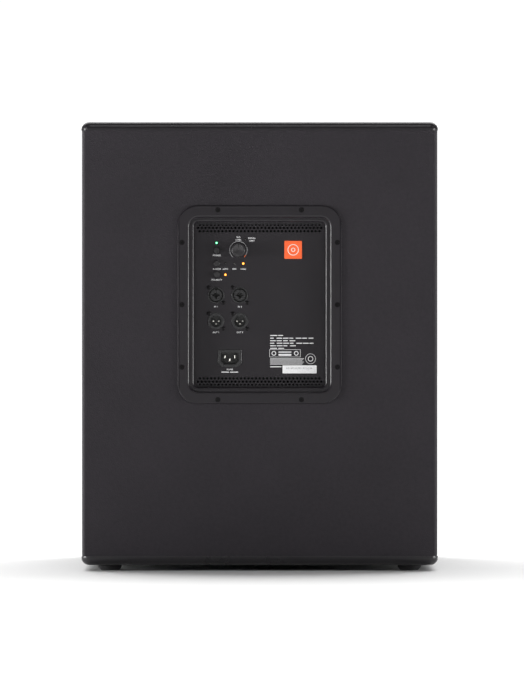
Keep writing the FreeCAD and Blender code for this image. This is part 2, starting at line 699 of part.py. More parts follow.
def cone_face(radius):
    """How far behind the baffle's face the cone lies at a radius."""
    return CONE_DEPTH * (CONE_EDGE - radius) / (CONE_EDGE - FORMER_OUT)


def woofer_cone():
    return woofer_turned([(CONE_EDGE, 0), (FORMER_OUT, CONE_DEPTH), (FORMER_OUT, CONE_DEPTH + CONE_SKIN),
                          (CONE_EDGE, CONE_SKIN)])


def woofer_dust_cap():
    """A domed cap glued over the voice coil, a slice of a thin ball."""
    base = cone_face(DUST_CAP_RADIUS)
    ball = (DUST_CAP_RADIUS ** 2 + DUST_CAP_RISE ** 2) / (2 * DUST_CAP_RISE)
    centre = vector(0, 0, base - DUST_CAP_RISE + ball)
    shell = Part.makeSphere(ball, centre).cut(Part.makeSphere(ball - 1.0, centre))
    front = Part.makeCylinder(DUST_CAP_RADIUS + 2, DUST_CAP_RISE + 1, vector(0, 0, base - DUST_CAP_RISE - 1))
    return place(shell.common(front), vector(0, BAFFLE_FRONT, WOOFER_Z), BACKWARD)


def woofer_voice_coil():
    """A thin former with its winding, hung in the magnet gap."""
    near, far = COIL_SPAN
    return woofer_turned([(FORMER_IN, CONE_DEPTH), (FORMER_OUT, CONE_DEPTH), (FORMER_OUT, near),
                          (COIL_OUT, near), (COIL_OUT, far), (FORMER_IN, far)])


def arc_ring(points, thickness):
    """Revolves a chain of arcs, given as (start, middle, end) triples of (radius, depth)."""
    shift = vector(0, 0, thickness)
    edges = []
    for start, middle, end in points:
        a, b, c = (vector(r, 0, h) for r, h in (start, middle, end))
        edges.append(Part.Arc(a, b, c).toShape())
        edges.append(Part.Arc(a + shift, b + shift, c + shift).toShape())
    for r, h in (points[0][0], points[-1][2]):
        edges.append(Part.LineSegment(vector(r, 0, h), vector(r, 0, h + thickness)).toShape())
    face = Part.Face(Part.Wire(Part.__sortEdges__(edges)))
    ring = face.revolve(vector(0, 0, 0), UP, 360)
    return place(ring, vector(0, BAFFLE_FRONT, WOOFER_Z), BACKWARD)


def woofer_surround():
    """A half-roll between the cone's edge and the frame, with a flat foot on each."""
    skin = SURROUND_SKIN
    roll = (SURROUND_OUT - CONE_EDGE) / 2
    middle = CONE_EDGE + roll
    rise = -0.2 - skin
    ring = arc_ring([((CONE_EDGE, rise), (middle, rise - roll), (SURROUND_OUT, rise))], skin)
    feet = [(CONE_EDGE - 5, CONE_EDGE), (SURROUND_OUT, SURROUND_OUT + 6)]
    lips = [woofer_turned([(a, rise), (b, rise), (b, rise + skin), (a, rise + skin)]) for a, b in feet]
    return fused([ring] + lips)


def woofer_spider():
    """A corrugated disc that centres the voice coil on the frame's inner shelf."""
    skin, waves, wave = 0.7, 5, 1.6
    start, end = FORMER_OUT + 0.05, 86.0
    level = SPIDER_SHELF - skin
    step = (end - start) / (2 * waves)
    arcs = []
    for i in range(2 * waves):
        near, far = start + i * step, start + (i + 1) * step
        crest = level - wave if i % 2 else level - wave * 0.2
        arcs.append(((near, level - wave * 0.6), ((near + far) / 2, crest), (far, level - wave * 0.6)))
    ring = arc_ring(arcs, skin)
    foot = woofer_turned([(end, level - wave * 0.6), (end + 3, level - wave * 0.6), (end + 3, SPIDER_SHELF),
                          (end, SPIDER_SHELF)])
    return fused([ring, foot])


def woofer_terminals():
    """A terminal strip under the magnet seat, with the lead's plug pushed onto it."""
    strip = block((-16, 16), (BAFFLE_FRONT + 89, BAFFLE_FRONT + 97), (TERMINAL_Z - 16, TERMINAL_Z - 0.6))
    plug = block((-12, 12), (BAFFLE_FRONT + 97, PLUG_END), (TERMINAL_Z - 14, TERMINAL_Z - 3))
    return fused([strip, plug])


# ---- amplifier module ----
def amp_tray():
    """A moulded frame: proud flange, rounded throat, narrow ledge and window for the panel."""
    flange = plate(FLANGE_HALF, FLANGE_CORNER, BACK_FACE, FLANGE_FACE)
    rim = edges_near(flange, lambda p: p.y > FLANGE_FACE - 0.01)
    flange = flange.makeFillet(1.6, rim)
    tray = fused([flange, plate(grown(THROAT_HALF, 3), THROAT_CORNER + 3, PANEL_FACE, BACK_FACE + 0.5)])
    tray = tray.cut(plate(THROAT_HALF, THROAT_CORNER, FLANGE_FACE - THROAT_DEPTH, FLANGE_FACE + 1))
    tray = tray.cut(plate(WINDOW_HALF, WINDOW_CORNER, PANEL_FACE - 1, FLANGE_FACE))

    steps = ((THROAT_HALF, FLANGE_FACE, 3.0), (WINDOW_HALF, FLANGE_FACE - THROAT_DEPTH, 2.5))
    for half, face, radius in steps:
        u, v = grown(half, 1)
        brim = edges_near(tray, lambda p: abs(p.y - face) < 0.01 and abs(p.x) < u and abs(p.z - MODULE_Z) < v)
        tray = tray.makeFillet(radius, brim)
    tray = tray.cut(gasket_ring())
    hole, length = PANEL_SCREW[1] + HOLE_CLEARANCE, PANEL_SCREW[2]
    for spot in HOUSING_SCREWS_AT:
        tray = tray.cut(rod(hole, on_panel(spot, PANEL_FACE - 1), BACKWARD, length))
    return cut_tray_screws(tray)


def gasket_ring():
    """A flat ring let into the flange's underside, sealing it to the back board."""
    outer = plate(grown(THROAT_HALF, 7.6), THROAT_CORNER + 7.6, BACK_FACE, BACK_FACE + 1)
    inner = plate(grown(THROAT_HALF, 4.8), THROAT_CORNER + 4.8, BACK_FACE - 1, BACK_FACE + 2)
    return outer.cut(inner)


def amp_tray_screws():
    screw = countersunk_screw(TRAY_SCREW)
    return Part.makeCompound([place(screw, on_panel(spot, FLANGE_FACE), BACKWARD) for spot in TRAY_SCREWS_AT])


def vent_spots():
    """Two bands of three staggered rows of round holes."""
    spots = []
    for band in (-VENT_V, VENT_V):
        for row in (-1, 0, 1):
            count = VENT_LONG_ROW if row == 0 else VENT_LONG_ROW - 1
            v = band + row * VENT_PITCH * math.sqrt(3) / 2
            spots += [((i - (count - 1) / 2) * VENT_PITCH, v) for i in range(count)]
    return spots


def round_wire(spot, radius):
    return Part.Wire([Part.makeCircle(radius, vector(spot[0], spot[1], 0))])


def inlet_outline(half_width, half_height, chamfer):
    """The inlet's outline: a rectangle with its two lower corners cut off."""
    a, b, c = half_width, half_height, chamfer
    points = [(a, b), (-a, b), (-a, c - b), (c - a, -b), (a - c, -b), (a, c - b), (a, b)]
    return Part.makePolygon([vector(x, y, 0) for x, y in points])


def amp_panel():
    """A steel sheet with its vents and an opening for every control and connector."""
    holes = [round_wire(spot, VENT_RADIUS) for spot in vent_spots()]
    holes.append(round_wire(KNOB_AT, BUSH_RADIUS + HOLE_CLEARANCE))
    holes += [round_wire(spot, BUTTON_RADIUS + BUTTON_GAP) for spot in BUTTONS_AT.values()]
    holes += [round_wire(spot, LED_RADIUS + HOLE_CLEARANCE) for group in LEDS_AT.values() for spot in group]
    holes += [round_wire(spot, JACK_COLLAR + HOLE_CLEARANCE) for spot in JACKS_AT]
    screw_hole = PANEL_SCREW[1] + HOLE_CLEARANCE
    holes += [round_wire(spot, screw_hole) for spot in JACK_SCREWS_AT + HOUSING_SCREWS_AT]
    inlet = inlet_outline(*grown(INLET_BODY, HOLE_CLEARANCE), INLET_CHAMFER)
    inlet.translate(vector(INLET_AT[0], INLET_AT[1], 0))
    outline = rounded_outline(THROAT_HALF[0], THROAT_HALF[1], THROAT_CORNER)
    face = Part.makeFace([outline, inlet] + holes, "Part::FaceMakerBullseye")
    face.translate(vector(0, 0, PANEL_BACK))
    return facing_back(face.extrude(vector(0, 0, PANEL_SHEET)))


def amp_housing():
    """A sheet box that seals the electronics off from the cabinet's air."""
    wall = HOUSING_WALL
    half = grown(THROAT_HALF, -8)
    flange = plate(THROAT_HALF, THROAT_CORNER, PANEL_BACK - wall, PANEL_BACK)
    box = fused([flange, plate(half, 6, HOUSING_BACK, PANEL_BACK - wall)])
    box = box.cut(plate(grown(half, -wall), 4.5, HOUSING_BACK + wall, PANEL_BACK + 1))
    for spot in HOUSING_SCREWS_AT:
        box = box.cut(rod(PANEL_SCREW[1] + HOLE_CLEARANCE, on_panel(spot, PANEL_BACK - 3), BACKWARD, 6))
    lead_x, _, lead_z = CABLE_ROUTE[0]
    return box.cut(rod(CABLE_RADIUS + HOLE_CLEARANCE, vector(lead_x, HOUSING_BACK - 2, lead_z), BACKWARD, 6))


def panel_screws():
    """M3 screws: two for each jack from outside, eight for the housing from inside."""
    screw = pan_screw(PANEL_SCREW)
    screws = [place(screw, on_panel(spot, PANEL_FACE), BACKWARD) for spot in JACK_SCREWS_AT]
    screws += [place(screw, on_panel(spot, PANEL_BACK - HOUSING_WALL), FORWARD) for spot in HOUSING_SCREWS_AT]
    return Part.makeCompound(screws)


# ---- electronics inside the housing ----
def panel_block(u, v, y):
    """A box given by its limits in u, v and y."""
    return block((-u[1], -u[0]), y, (MODULE_Z + v[0], MODULE_Z + v[1]))


def heatsink():
    """An aluminium extrusion with upright fins between the two bands of vents."""
    base_y = (MAIN_BOARD_Y + 4, MAIN_BOARD_Y + 10)
    parts = [panel_block(HEATSINK_U, HEATSINK_V, base_y)]
    step = (HEATSINK_U[1] - HEATSINK_U[0] - 2) / (HEATSINK_FINS - 1)
    for i in range(HEATSINK_FINS):
        u = HEATSINK_U[0] + i * step
        parts.append(panel_block((u, u + 2), HEATSINK_V, (base_y[1], PANEL_BACK - 2)))
    return fused(parts)


def amplifier_board():
    return panel_block((-82, 82), (-104, 104), (MAIN_BOARD_Y - BOARD_SHEET, MAIN_BOARD_Y))


def board_components():
    """Transformer, coils, capacitors, power transistors and spacers on the main board."""
    back = MAIN_BOARD_Y - BOARD_SHEET
    parts = [panel_block((-60, -12), (-80, -38), (back - 36, back))]
    parts += [panel_block((-58, -30), (v, v + 28), (back - 22, back)) for v in (10, 52)]
    for u in (18.0, 54.0):
        for v in (-72.0, -36.0):
            parts.append(rod(14, on_panel((u, v), back - 38), BACKWARD, 38))
    for v in (-60.0, -20.0, 20.0, 60.0):
        parts.append(panel_block((36, 52), (v - 10, v + 10), (MAIN_BOARD_Y, MAIN_BOARD_Y + 4)))
    floor = HOUSING_BACK + HOUSING_WALL
    spacers = [(u, v) for u in (-76.0, 76.0) for v in (-98.0, 98.0)]
    parts += [rod(3.5, on_panel(spot, floor), BACKWARD, back - floor) for spot in spacers]
    return Part.makeCompound(parts)


def signal_boards():
    """The control board behind the buttons and the input board behind the jacks."""
    control = panel_block((-76, -8), (32, 98), (CONTROL_BOARD_Y - BOARD_SHEET, CONTROL_BOARD_Y))
    inputs = panel_block((-78, -9), (-40, 30), (INPUT_BOARD_Y - BOARD_SHEET, INPUT_BOARD_Y))
    return Part.makeCompound([control, inputs])


# ---- controls ----
def volume_knob():
    """A tapered knob with grip flutes, a dished face and a pointer notch at its top."""
    height = KNOB_HEIGHT
    outline = [(0, 0), (KNOB_RADIUS, 0), (KNOB_RADIUS - 0.6, height), (0, height)]
    blank = turned_profile(outline, vector(0, 0, 0), UP)
    rim = edges_near(blank, lambda p: p.z > height - 0.01 and math.hypot(p.x, p.y) > 5)
    blank = blank.makeFillet(0.9, rim)
    dish_radius, dish_depth = 7.2, 1.4
    ball = (dish_radius ** 2 + dish_depth ** 2) / (2 * dish_depth)
    tools = [Part.makeSphere(ball, vector(0, 0, height + ball - dish_depth))]
    for i in range(KNOB_FLUTES):
        angle = 2 * math.pi * (i + 0.5) / KNOB_FLUTES
        centre = vector((KNOB_RADIUS + 0.45) * math.cos(angle), (KNOB_RADIUS + 0.45) * math.sin(angle), 2.5)
        tools.append(rod(1.0, centre, UP, height))
    tools.append(block((-0.6, 0.6), (4.2, KNOB_RADIUS + 1), (height - 1.9, height + 1)))
    tools.append(rod(SHAFT_RADIUS, vector(0, 0, -1), UP, SHAFT_IN_KNOB + 1))
    for tool in tools:
        blank = blank.cut(tool)
    return facing_back_at(blank, KNOB_AT, PANEL_FACE + KNOB_LIFT)


def facing_back_at(shape, spot, y):
    """Places a shape drawn in plan on the panel, with its z = 0 at depth y."""
    raised = shape.copy()
    raised.translate(vector(0, 0, y))
    return facing_back(raised, spot)


def volume_shaft():
    reach = PANEL_SHEET + 6 + KNOB_LIFT + SHAFT_IN_KNOB
    return rod(SHAFT_RADIUS, on_panel(KNOB_AT, PANEL_BACK - 6), BACKWARD, reach)


def volume_potentiometer():
    """The body behind the panel, with the bush that the shaft turns in."""
    body_y = (CONTROL_BOARD_Y, PANEL_BACK)
    u, v = KNOB_AT
    body = panel_block((u - 8, u + 8), (v - 9, v + 8), body_y)
    body = fused([body, rod(BUSH_RADIUS, on_panel(KNOB_AT, PANEL_BACK - 1), BACKWARD, PANEL_SHEET + 1.2)])
    return body.cut(rod(SHAFT_RADIUS + SHAFT_CLEARANCE, on_panel(KNOB_AT, PANEL_BACK - 6.5), BACKWARD, 20))


def push_button(spot):
    """A round cap with a retaining flange behind the panel and a stem that enters its switch."""
    flange_top = -PANEL_SHEET - BUTTON_GAP
    flange_base = flange_top - BUTTON_FLANGE_THICKNESS
    outline = [(0, -STEM_END), (STEM_RADIUS, -STEM_END), (STEM_RADIUS, flange_base),
               (BUTTON_FLANGE, flange_base), (BUTTON_FLANGE, flange_top), (BUTTON_RADIUS, flange_top),
               (BUTTON_RADIUS, BUTTON_PROUD), (0, BUTTON_PROUD)]
    cap = turned_profile(outline, vector(0, 0, 0), UP)
    rim = edges_near(cap, lambda p: p.z > BUTTON_PROUD - 0.01 and math.hypot(p.x, p.y) > 1)
    return facing_back_at(cap.makeFillet(0.8, rim), spot, PANEL_FACE)


def push_switches():
    """Three switches on the control board, each open for its button's stem."""
    switches = []
    for spot in BUTTONS_AT.values():
        u, v = spot
        body = panel_block((u - 3, u + 3), (v - 3, v + 3), (CONTROL_BOARD_Y, PANEL_FACE - SWITCH_TOP))
        stem = rod(STEM_RADIUS + BUTTON_GAP, on_panel(spot, PANEL_FACE - STEM_END - 2), BACKWARD, 12)
        switches.append(body.cut(stem))
    return Part.makeCompound(switches)


def leds(spots):
    """Domed lamps that reach from the control board through the panel."""
    tip = PANEL_FACE + LED_PROUD - LED_RADIUS
    lamps = []
    for spot in spots:
        body = rod(LED_RADIUS, on_panel(spot, CONTROL_BOARD_Y), BACKWARD, tip - CONTROL_BOARD_Y)
        lamps.append(fused([body, Part.makeSphere(LED_RADIUS, on_panel(spot, tip))]))
    return Part.makeCompound(lamps)


# ---- connectors ----
def jack_body():
    """The common shell of the round connectors: collar through the panel, square body behind."""
    collar = Part.makeCylinder(JACK_COLLAR, PANEL_SHEET + JACK_PROUD, vector(0, 0, -PANEL_SHEET))
    collar = collar.makeFillet(0.4, edges_near(collar, lambda p: p.z > JACK_PROUD - 0.01))
    body = slab(13.0, 15.0, 2.0, INPUT_BOARD_Y - PANEL_FACE, -PANEL_SHEET)
    shell = fused([collar, body])
    for u, v in JACK_SCREWS:
        shell = shell.cut(rod(PANEL_SCREW[1] + HOLE_CLEARANCE, vector(u, v, -PANEL_SCREW[2] - 0.5), UP, 14))
    return shell


def combo_jack(spot):
    """A female XLR socket with a phone-plug hole through its core."""
    top = JACK_PROUD
    slot = Part.makeCylinder(SLOT_OUT, XLR_DEPTH, vector(0, 0, top - XLR_DEPTH))
    slot = slot.cut(Part.makeCylinder(SLOT_IN, XLR_DEPTH, vector(0, 0, top - XLR_DEPTH)))
    key = block((-1.6, 1.6), (SLOT_IN - 1.2, SLOT_OUT + 1.0), (top - XLR_DEPTH, top + 1))
    tools = [slot, key, Part.makeCylinder(PHONE_BORE, 26, vector(0, 0, top - 26))]
    tools += [Part.makeCylinder(1.35, 12, vector(u, v, top - 12)) for u, v in XLR_PINS]
    core_face = Part.makeCylinder(SLOT_IN + 0.5, 1, vector(0, 0, top - 0.8))
    jack = jack_body().cut(core_face)
    for tool in tools:
        jack = jack.cut(tool)
    return facing_back_at(jack, spot, PANEL_FACE)


def xlr_outlet(spot):
    """A male XLR socket: an open cup with a key rib, its pins made apart."""
    top = JACK_PROUD
    cup = Part.makeCylinder(SLOT_IN, XLR_DEPTH, vector(0, 0, top - XLR_DEPTH))
    key = block((-1.4, 1.4), (SLOT_IN - 0.9, SLOT_IN + 1), (top - XLR_DEPTH, top - 1.0))
    jack = jack_body().cut(cup.cut(key))
    for u, v in XLR_PINS:
        jack = jack.cut(Part.makeCylinder(XLR_PIN_RADIUS, 6, vector(u, v, top - XLR_DEPTH - PIN_ROOT)))
    return facing_back_at(jack, spot, PANEL_FACE)


def connector_pins():
    """The round pins of both XLR outlets and the three flat pins of the mains inlet."""
    pins = []
    root = JACK_PROUD - XLR_DEPTH - PIN_ROOT
    length = XLR_PIN_LENGTH + PIN_ROOT
    for spot in XLR_OUTLETS_AT.values():
        for u, v in XLR_PINS:
            pin = Part.makeCylinder(XLR_PIN_RADIUS, length, vector(u, v, root))
            tip = edges_near(pin, lambda p: p.z > root + length - 0.01)
            pins.append(facing_back_at(pin.makeFillet(0.9, tip), spot, PANEL_FACE))
    for u, v in INLET_PINS:
        blade = block((u - 1, u + 1), (v - 2, v + 2), (-INLET_DEPTH - PIN_ROOT, -1.5))
        tip = edges_near(blade, lambda p: p.z > -1.51)
        pins.append(facing_back_at(blade.makeChamfer(0.5, tip), INLET_AT, PANEL_FACE))
    return Part.makeCompound(pins)


def inlet_prism(half, chamfer, low, high):
    outline = inlet_outline(half[0], half[1], chamfer)
    outline.translate(vector(0, 0, low))
    return Part.Face(outline).extrude(vector(0, 0, high - low))


def mains_inlet():
    """A three-pin appliance inlet with a chamfered bezel, snapped in from outside."""
    bezel = inlet_prism(INLET_BEZEL, INLET_CHAMFER + 1, 0, INLET_BEZEL_PROUD)
    bezel = bezel.makeFillet(0.6, edges_near(bezel, lambda p: p.z > INLET_BEZEL_PROUD - 0.01))
    body = inlet_prism(INLET_BODY, INLET_CHAMFER, -INLET_DEPTH - 3, 0)
    cavity = inlet_prism(INLET_CAVITY, INLET_CHAMFER, -INLET_DEPTH, INLET_BEZEL_PROUD + 1)
    inlet = fused([bezel, body]).cut(cavity)
    for u, v in INLET_PINS:
        inlet = inlet.cut(block((u - 1, u + 1), (v - 2, v + 2), (-INLET_DEPTH - PIN_ROOT, 1 - INLET_DEPTH)))
    return facing_back_at(inlet, INLET_AT, PANEL_FACE)


def badge_plate():
    """A plain raised badge."""
    blank = slab(12.0, 12.3, 1.0, 0, 0.8)
    blank = blank.makeFillet(0.3, edges_near(blank, lambda p: p.z > 0.79))
    return facing_back_at(blank, BADGE_AT, PANEL_FACE)


# ---- internal speaker lead ----
def rounded_path(points):
    """Straight runs joined by tangent arcs as large as each pair of runs allows."""
    knots = [vector(*p) for p in points]
    edges, here = [], knots[0]
    for before, corner, after in zip(knots, knots[1:], knots[2:]):
        back, onward = (before - corner), (after - corner)
        shorter = min(back.Length, onward.Length)
        back.normalize()
        onward.normalize()
        turn = math.pi - back.getAngle(onward)
        reach = 0.45 * shorter
        radius = reach / math.tan(turn / 2)
        start, end = corner + back * reach, corner + onward * reach
        inward = (back + onward).normalize()
        middle = corner + inward * (math.hypot(radius, reach) - radius)
        edges.append(Part.LineSegment(here, start).toShape())
        edges.append(Part.Arc(start, middle, end).toShape())
        here = end
    edges.append(Part.LineSegment(here, knots[-1]).toShape())
    return Part.Wire(edges)


def speaker_cable():
    """The lead from the amplifier housing over the brace's rail to the woofer's terminals."""
    path = rounded_path(CABLE_ROUTE)
    section = Part.Wire([Part.makeCircle(CABLE_RADIUS, vector(*CABLE_ROUTE[0]), BACKWARD)])
    return path.makePipeShell([section], True, False, 2)


def nodes():
    """Every sub-part by name."""
    made = {
        "side_panel_left": side_panel(-1),
        "side_panel_right": side_panel(1),
        "top_panel": top_panel(),
        "bottom_panel": bottom_panel(),
        "back_panel": back_panel(),
        "front_baffle": front_baffle(),
        "window_brace": window_brace(),
        "top_cap": top_cap(),
        "bottom_cap": bottom_cap(),
        "rubber_feet": rubber_feet(),
        "foot_screws": foot_screws(),
        "handle_cup_left": handle_cup(-1),
        "handle_cup_right": handle_cup(1),
        "pole_socket": pole_socket(),
        "cabinet_screws": cabinet_screws(),
        "grille": grille(),
        "grille_foam": grille_foam(),
        "grille_screws": grille_screws(),
        "port_tube_left": port_tube(-1),
        "port_tube_right": port_tube(1),
        "woofer_frame": woofer_frame(),
        "woofer_gasket": woofer_gasket(),
        "woofer_screws": woofer_screws(),
        "woofer_top_plate": woofer_top_plate(),
        "woofer_magnet": woofer_magnet(),
        "woofer_back_plate": woofer_back_plate(),
        "woofer_cone": woofer_cone(),
        "woofer_dust_cap": woofer_dust_cap(),
        "woofer_voice_coil": woofer_voice_coil(),
        "woofer_surround": woofer_surround(),
        "woofer_spider": woofer_spider(),
        "woofer_terminals": woofer_terminals(),
        "amp_tray": amp_tray(),
        "amp_tray_gasket": gasket_ring(),
        "amp_tray_screws": amp_tray_screws(),
        "amp_panel": amp_panel(),
        "amp_housing": amp_housing(),
        "panel_screws": panel_screws(),
        "heatsink": heatsink(),
        "amplifier_board": amplifier_board(),
        "board_components": board_components(),
        "signal_boards": signal_boards(),
        "volume_knob": volume_knob(),
        "volume_shaft": volume_shaft(),
        "volume_potentiometer": volume_potentiometer(),
        "push_switches": push_switches(),
        "connector_pins": connector_pins(),
        "mains_inlet": mains_inlet(),
        "badge_plate": badge_plate(),
        "speaker_cable": speaker_cable(),
    }
    made.update({name: push_button(spot) for name, spot in BUTTONS_AT.items()})
    made.update({name: leds(spots) for name, spots in LEDS_AT.items()})
    made.update({name: combo_jack(spot) for name, spot in COMBO_JACKS_AT.items()})
    made.update({name: xlr_outlet(spot) for name, spot in XLR_OUTLETS_AT.items()})
    return made


def main():
    os.makedirs("parts", exist_ok=True)
    for name, shape in nodes().items():
        if not shape.isValid() or not shape.Solids or shape.Volume <= 0:
            print("check", name, shape.isValid(), len(shape.Solids), round(shape.Volume, 1))
        shape.exportStep(os.path.join("parts", name + ".step"))


main()
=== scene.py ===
"""The looks of a powered subwoofer: finishes for its CAD parts, the perforated grille and its foam, the
woofer's surround and spider cut into sectors, the printing on the amplifier panel, and a plain
studio. Metres, in the frame of the model: +Z up, grille towards -Y, amplifier panel towards +Y, feet on
z = 0.
"""

import math

import bmesh
import bpy
from mathutils import Matrix, Vector, noise


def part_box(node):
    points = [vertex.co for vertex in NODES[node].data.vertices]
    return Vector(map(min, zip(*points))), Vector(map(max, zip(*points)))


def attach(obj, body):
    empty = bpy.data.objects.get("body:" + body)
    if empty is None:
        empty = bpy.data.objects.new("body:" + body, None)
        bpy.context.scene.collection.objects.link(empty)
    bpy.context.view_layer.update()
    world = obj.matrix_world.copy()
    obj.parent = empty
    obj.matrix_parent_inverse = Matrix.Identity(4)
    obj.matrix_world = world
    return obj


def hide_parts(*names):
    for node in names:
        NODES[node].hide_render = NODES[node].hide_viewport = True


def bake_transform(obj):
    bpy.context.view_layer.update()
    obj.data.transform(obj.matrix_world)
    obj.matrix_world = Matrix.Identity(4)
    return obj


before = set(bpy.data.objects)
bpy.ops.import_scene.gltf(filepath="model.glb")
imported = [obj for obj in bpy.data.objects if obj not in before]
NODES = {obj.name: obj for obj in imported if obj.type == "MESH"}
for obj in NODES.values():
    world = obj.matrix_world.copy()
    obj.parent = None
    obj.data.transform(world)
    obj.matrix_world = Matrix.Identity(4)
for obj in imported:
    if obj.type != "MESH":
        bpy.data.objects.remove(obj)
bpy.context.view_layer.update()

MM = 0.001
CABINET = "cabinet"
PANEL_LOW, PANEL_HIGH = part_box("amp_panel")
PANEL_FACE = PANEL_HIGH.y
PANEL_CENTRE_Z = (PANEL_LOW.z + PANEL_HIGH.z) / 2
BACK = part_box("back_panel")[1].y
INK_PROUD = 0.05 * MM


# ---- small helpers ----
def linked(name, data):
    """A new object for some data, in the scene."""
    holder = bpy.data.objects.new(name, data)
    bpy.context.scene.collection.objects.link(holder)
    return holder


def new_piece(name, mesh, material, body=CABINET, smooth=False):
    """Links a mesh as a piece that rides on a body."""
    piece = linked(name, mesh)
    mesh.materials.clear()
    mesh.materials.append(material)
    for face in mesh.polygons:
        face.use_smooth = smooth
    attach(piece, body)
    return piece


def mesh_of(name, build):
    """A mesh filled by build(bm)."""
    bm = bmesh.new()
    build(bm)
    mesh = bpy.data.meshes.new(name)
    bm.to_mesh(mesh)
    bm.free()
    return mesh


def on_panel(u, v, lift=INK_PROUD):
    """A point of the control panel: u runs right as seen from behind, v up, in mm from its centre."""
    return Vector((-u * MM, PANEL_FACE + lift, PANEL_CENTRE_Z + v * MM))


def facing_back(u, v, lift=INK_PROUD):
    """The matrix that lays flat XY artwork on the panel, readable from behind."""
    turn = Matrix(((-1, 0, 0), (0, 0, 1), (0, 1, 0))).to_4x4()
    return Matrix.Translation(on_panel(u, v, lift)) @ turn


# ---- finishes ----
BANDS_PER_UNIT = 3.2  # bands that a wave texture of scale 1 has in one unit of length


class Finish:
    """A Principled material and the node patterns that the finishes share, sized in millimetres."""

    def __init__(self, name, colour, roughness, metallic=0.0, **sockets):
        self.material = bpy.data.materials.new(name)
        self.material.use_nodes = True
        self.tree = self.material.node_tree
        self.shader = self.tree.nodes["Principled BSDF"]
        self.colour = (*colour, 1.0)
        self.material.diffuse_color = self.colour
        self.shader.inputs["Base Color"].default_value = self.colour
        self.shader.inputs["Roughness"].default_value = roughness
        self.shader.inputs["Metallic"].default_value = metallic
        for socket, value in sockets.items():
            self.shader.inputs[socket.replace("_", " ")].default_value = value
        self.place = self.node("ShaderNodeTexCoord").outputs["Object"]
        self.normal = None

    def node(self, kind, **settings):
        made = self.tree.nodes.new(kind)
        for name, value in settings.items():
            setattr(made, name, value)
        return made

    def link(self, source, socket):
        self.tree.links.new(source, socket)

    def stretched(self, x, y, z):
        """Object coordinates scaled unevenly, for brushed or fibrous patterns."""
        mapping = self.node("ShaderNodeMapping")
        self.link(self.place, mapping.inputs["Vector"])
        mapping.inputs["Scale"].default_value = (x, y, z)
        return mapping.outputs["Vector"]

    def noise(self, size, detail=3.0, roughness=0.55, distortion=0.0, place=None):
        made = self.node("ShaderNodeTexNoise")
        self.link(place or self.place, made.inputs["Vector"])
        made.inputs["Scale"].default_value = 1000.0 / size
        made.inputs["Detail"].default_value = detail
        made.inputs["Roughness"].default_value = roughness
        made.inputs["Distortion"].default_value = distortion
        return made.outputs["Fac"]

    def cells(self, size, feature="F1", smooth=None):
        made = self.node("ShaderNodeTexVoronoi", feature=feature)
        self.link(self.place, made.inputs["Vector"])
        made.inputs["Scale"].default_value = 1000.0 / size
        if smooth is not None:
            made.inputs["Smoothness"].default_value = smooth
        return made.outputs["Distance"]

    def waves(self, size, direction, distortion=0.0):
        """Bands across one axis, size apart."""
        made = self.node("ShaderNodeTexWave", wave_type="BANDS", bands_direction=direction)
        self.link(self.place, made.inputs["Vector"])
        made.inputs["Scale"].default_value = 1000.0 / size / BANDS_PER_UNIT
        made.inputs["Distortion"].default_value = distortion
        return made.outputs["Fac"]

    def ranged(self, value, low, high, start=0.3, end=0.7):
        """Maps a pattern's start..end to low..high."""
        made = self.node("ShaderNodeMapRange")
        self.link(value, made.inputs["Value"])
        for socket, number in (("From Min", start), ("From Max", end), ("To Min", low), ("To Max", high)):
            made.inputs[socket].default_value = number
        return made.outputs["Result"]

    def combined(self, a, b, scale=1.0):
        """Adds a scaled pattern to another."""
        scaled = self.node("ShaderNodeMath", operation="MULTIPLY")
        self.link(b, scaled.inputs[0])
        scaled.inputs[1].default_value = scale
        made = self.node("ShaderNodeMath", operation="ADD")
        self.link(a, made.inputs[0])
        self.link(scaled.outputs[0], made.inputs[1])
        return made.outputs[0]

    def ramp(self, value, *stops):
        """A colour ramp of (position, colour) stops."""
        made = self.node("ShaderNodeValToRGB")
        self.link(value, made.inputs["Fac"])
        elements = made.color_ramp.elements
        while len(elements) < len(stops):
            elements.new(0.5)
        for element, (position, colour) in zip(elements, stops):
            element.position = position
            element.color = (*colour, 1.0)
        return made.outputs["Color"]

    def tinted(self, value, darker, lighter, start=0.3, end=0.7):
        """Varies the base colour between two brightness factors of itself."""
        low = [c * darker for c in self.colour[:3]]
        high = [c * lighter for c in self.colour[:3]]
        self.link(self.ramp(value, (start, low), (end, high)), self.shader.inputs["Base Color"])
        return self

    def rough(self, value, low, high, start=0.3, end=0.7):
        self.link(self.ranged(value, low, high, start, end), self.shader.inputs["Roughness"])
        return self

    def bump(self, value, depth, strength=1.0):
        """Raises the surface by the pattern, depth in millimetres."""
        made = self.node("ShaderNodeBump")
        self.link(value, made.inputs["Height"])
        made.inputs["Distance"].default_value = depth * MM
        made.inputs["Strength"].default_value = strength
        if self.normal:
            self.link(self.normal, made.inputs["Normal"])
        self.normal = made.outputs["Normal"]
        self.link(self.normal, self.shader.inputs["Normal"])
        return self


def textured_paint():
    """A tough sprayed coating: fine pebbles over a faint orange peel."""
    f = Finish("sprayed_coating", (0.0178, 0.015, 0.019), 0.6, Specular_IOR_Level=0.3)
    pebbles = f.cells(1.5, "SMOOTH_F1", smooth=0.6)
    grit = f.noise(0.7, detail=2.0)
    f.bump(f.combined(pebbles, grit, scale=0.5), 0.28, 0.75)
    f.bump(f.noise(9.0, detail=2.0), 0.25, 0.5)
    mottle = f.combined(f.noise(5.0, detail=4.0), f.noise(90.0, detail=2.0), scale=0.6)
    f.tinted(mottle, 0.86, 1.14, 0.55, 1.05)
    return f.rough(grit, 0.52, 0.7)


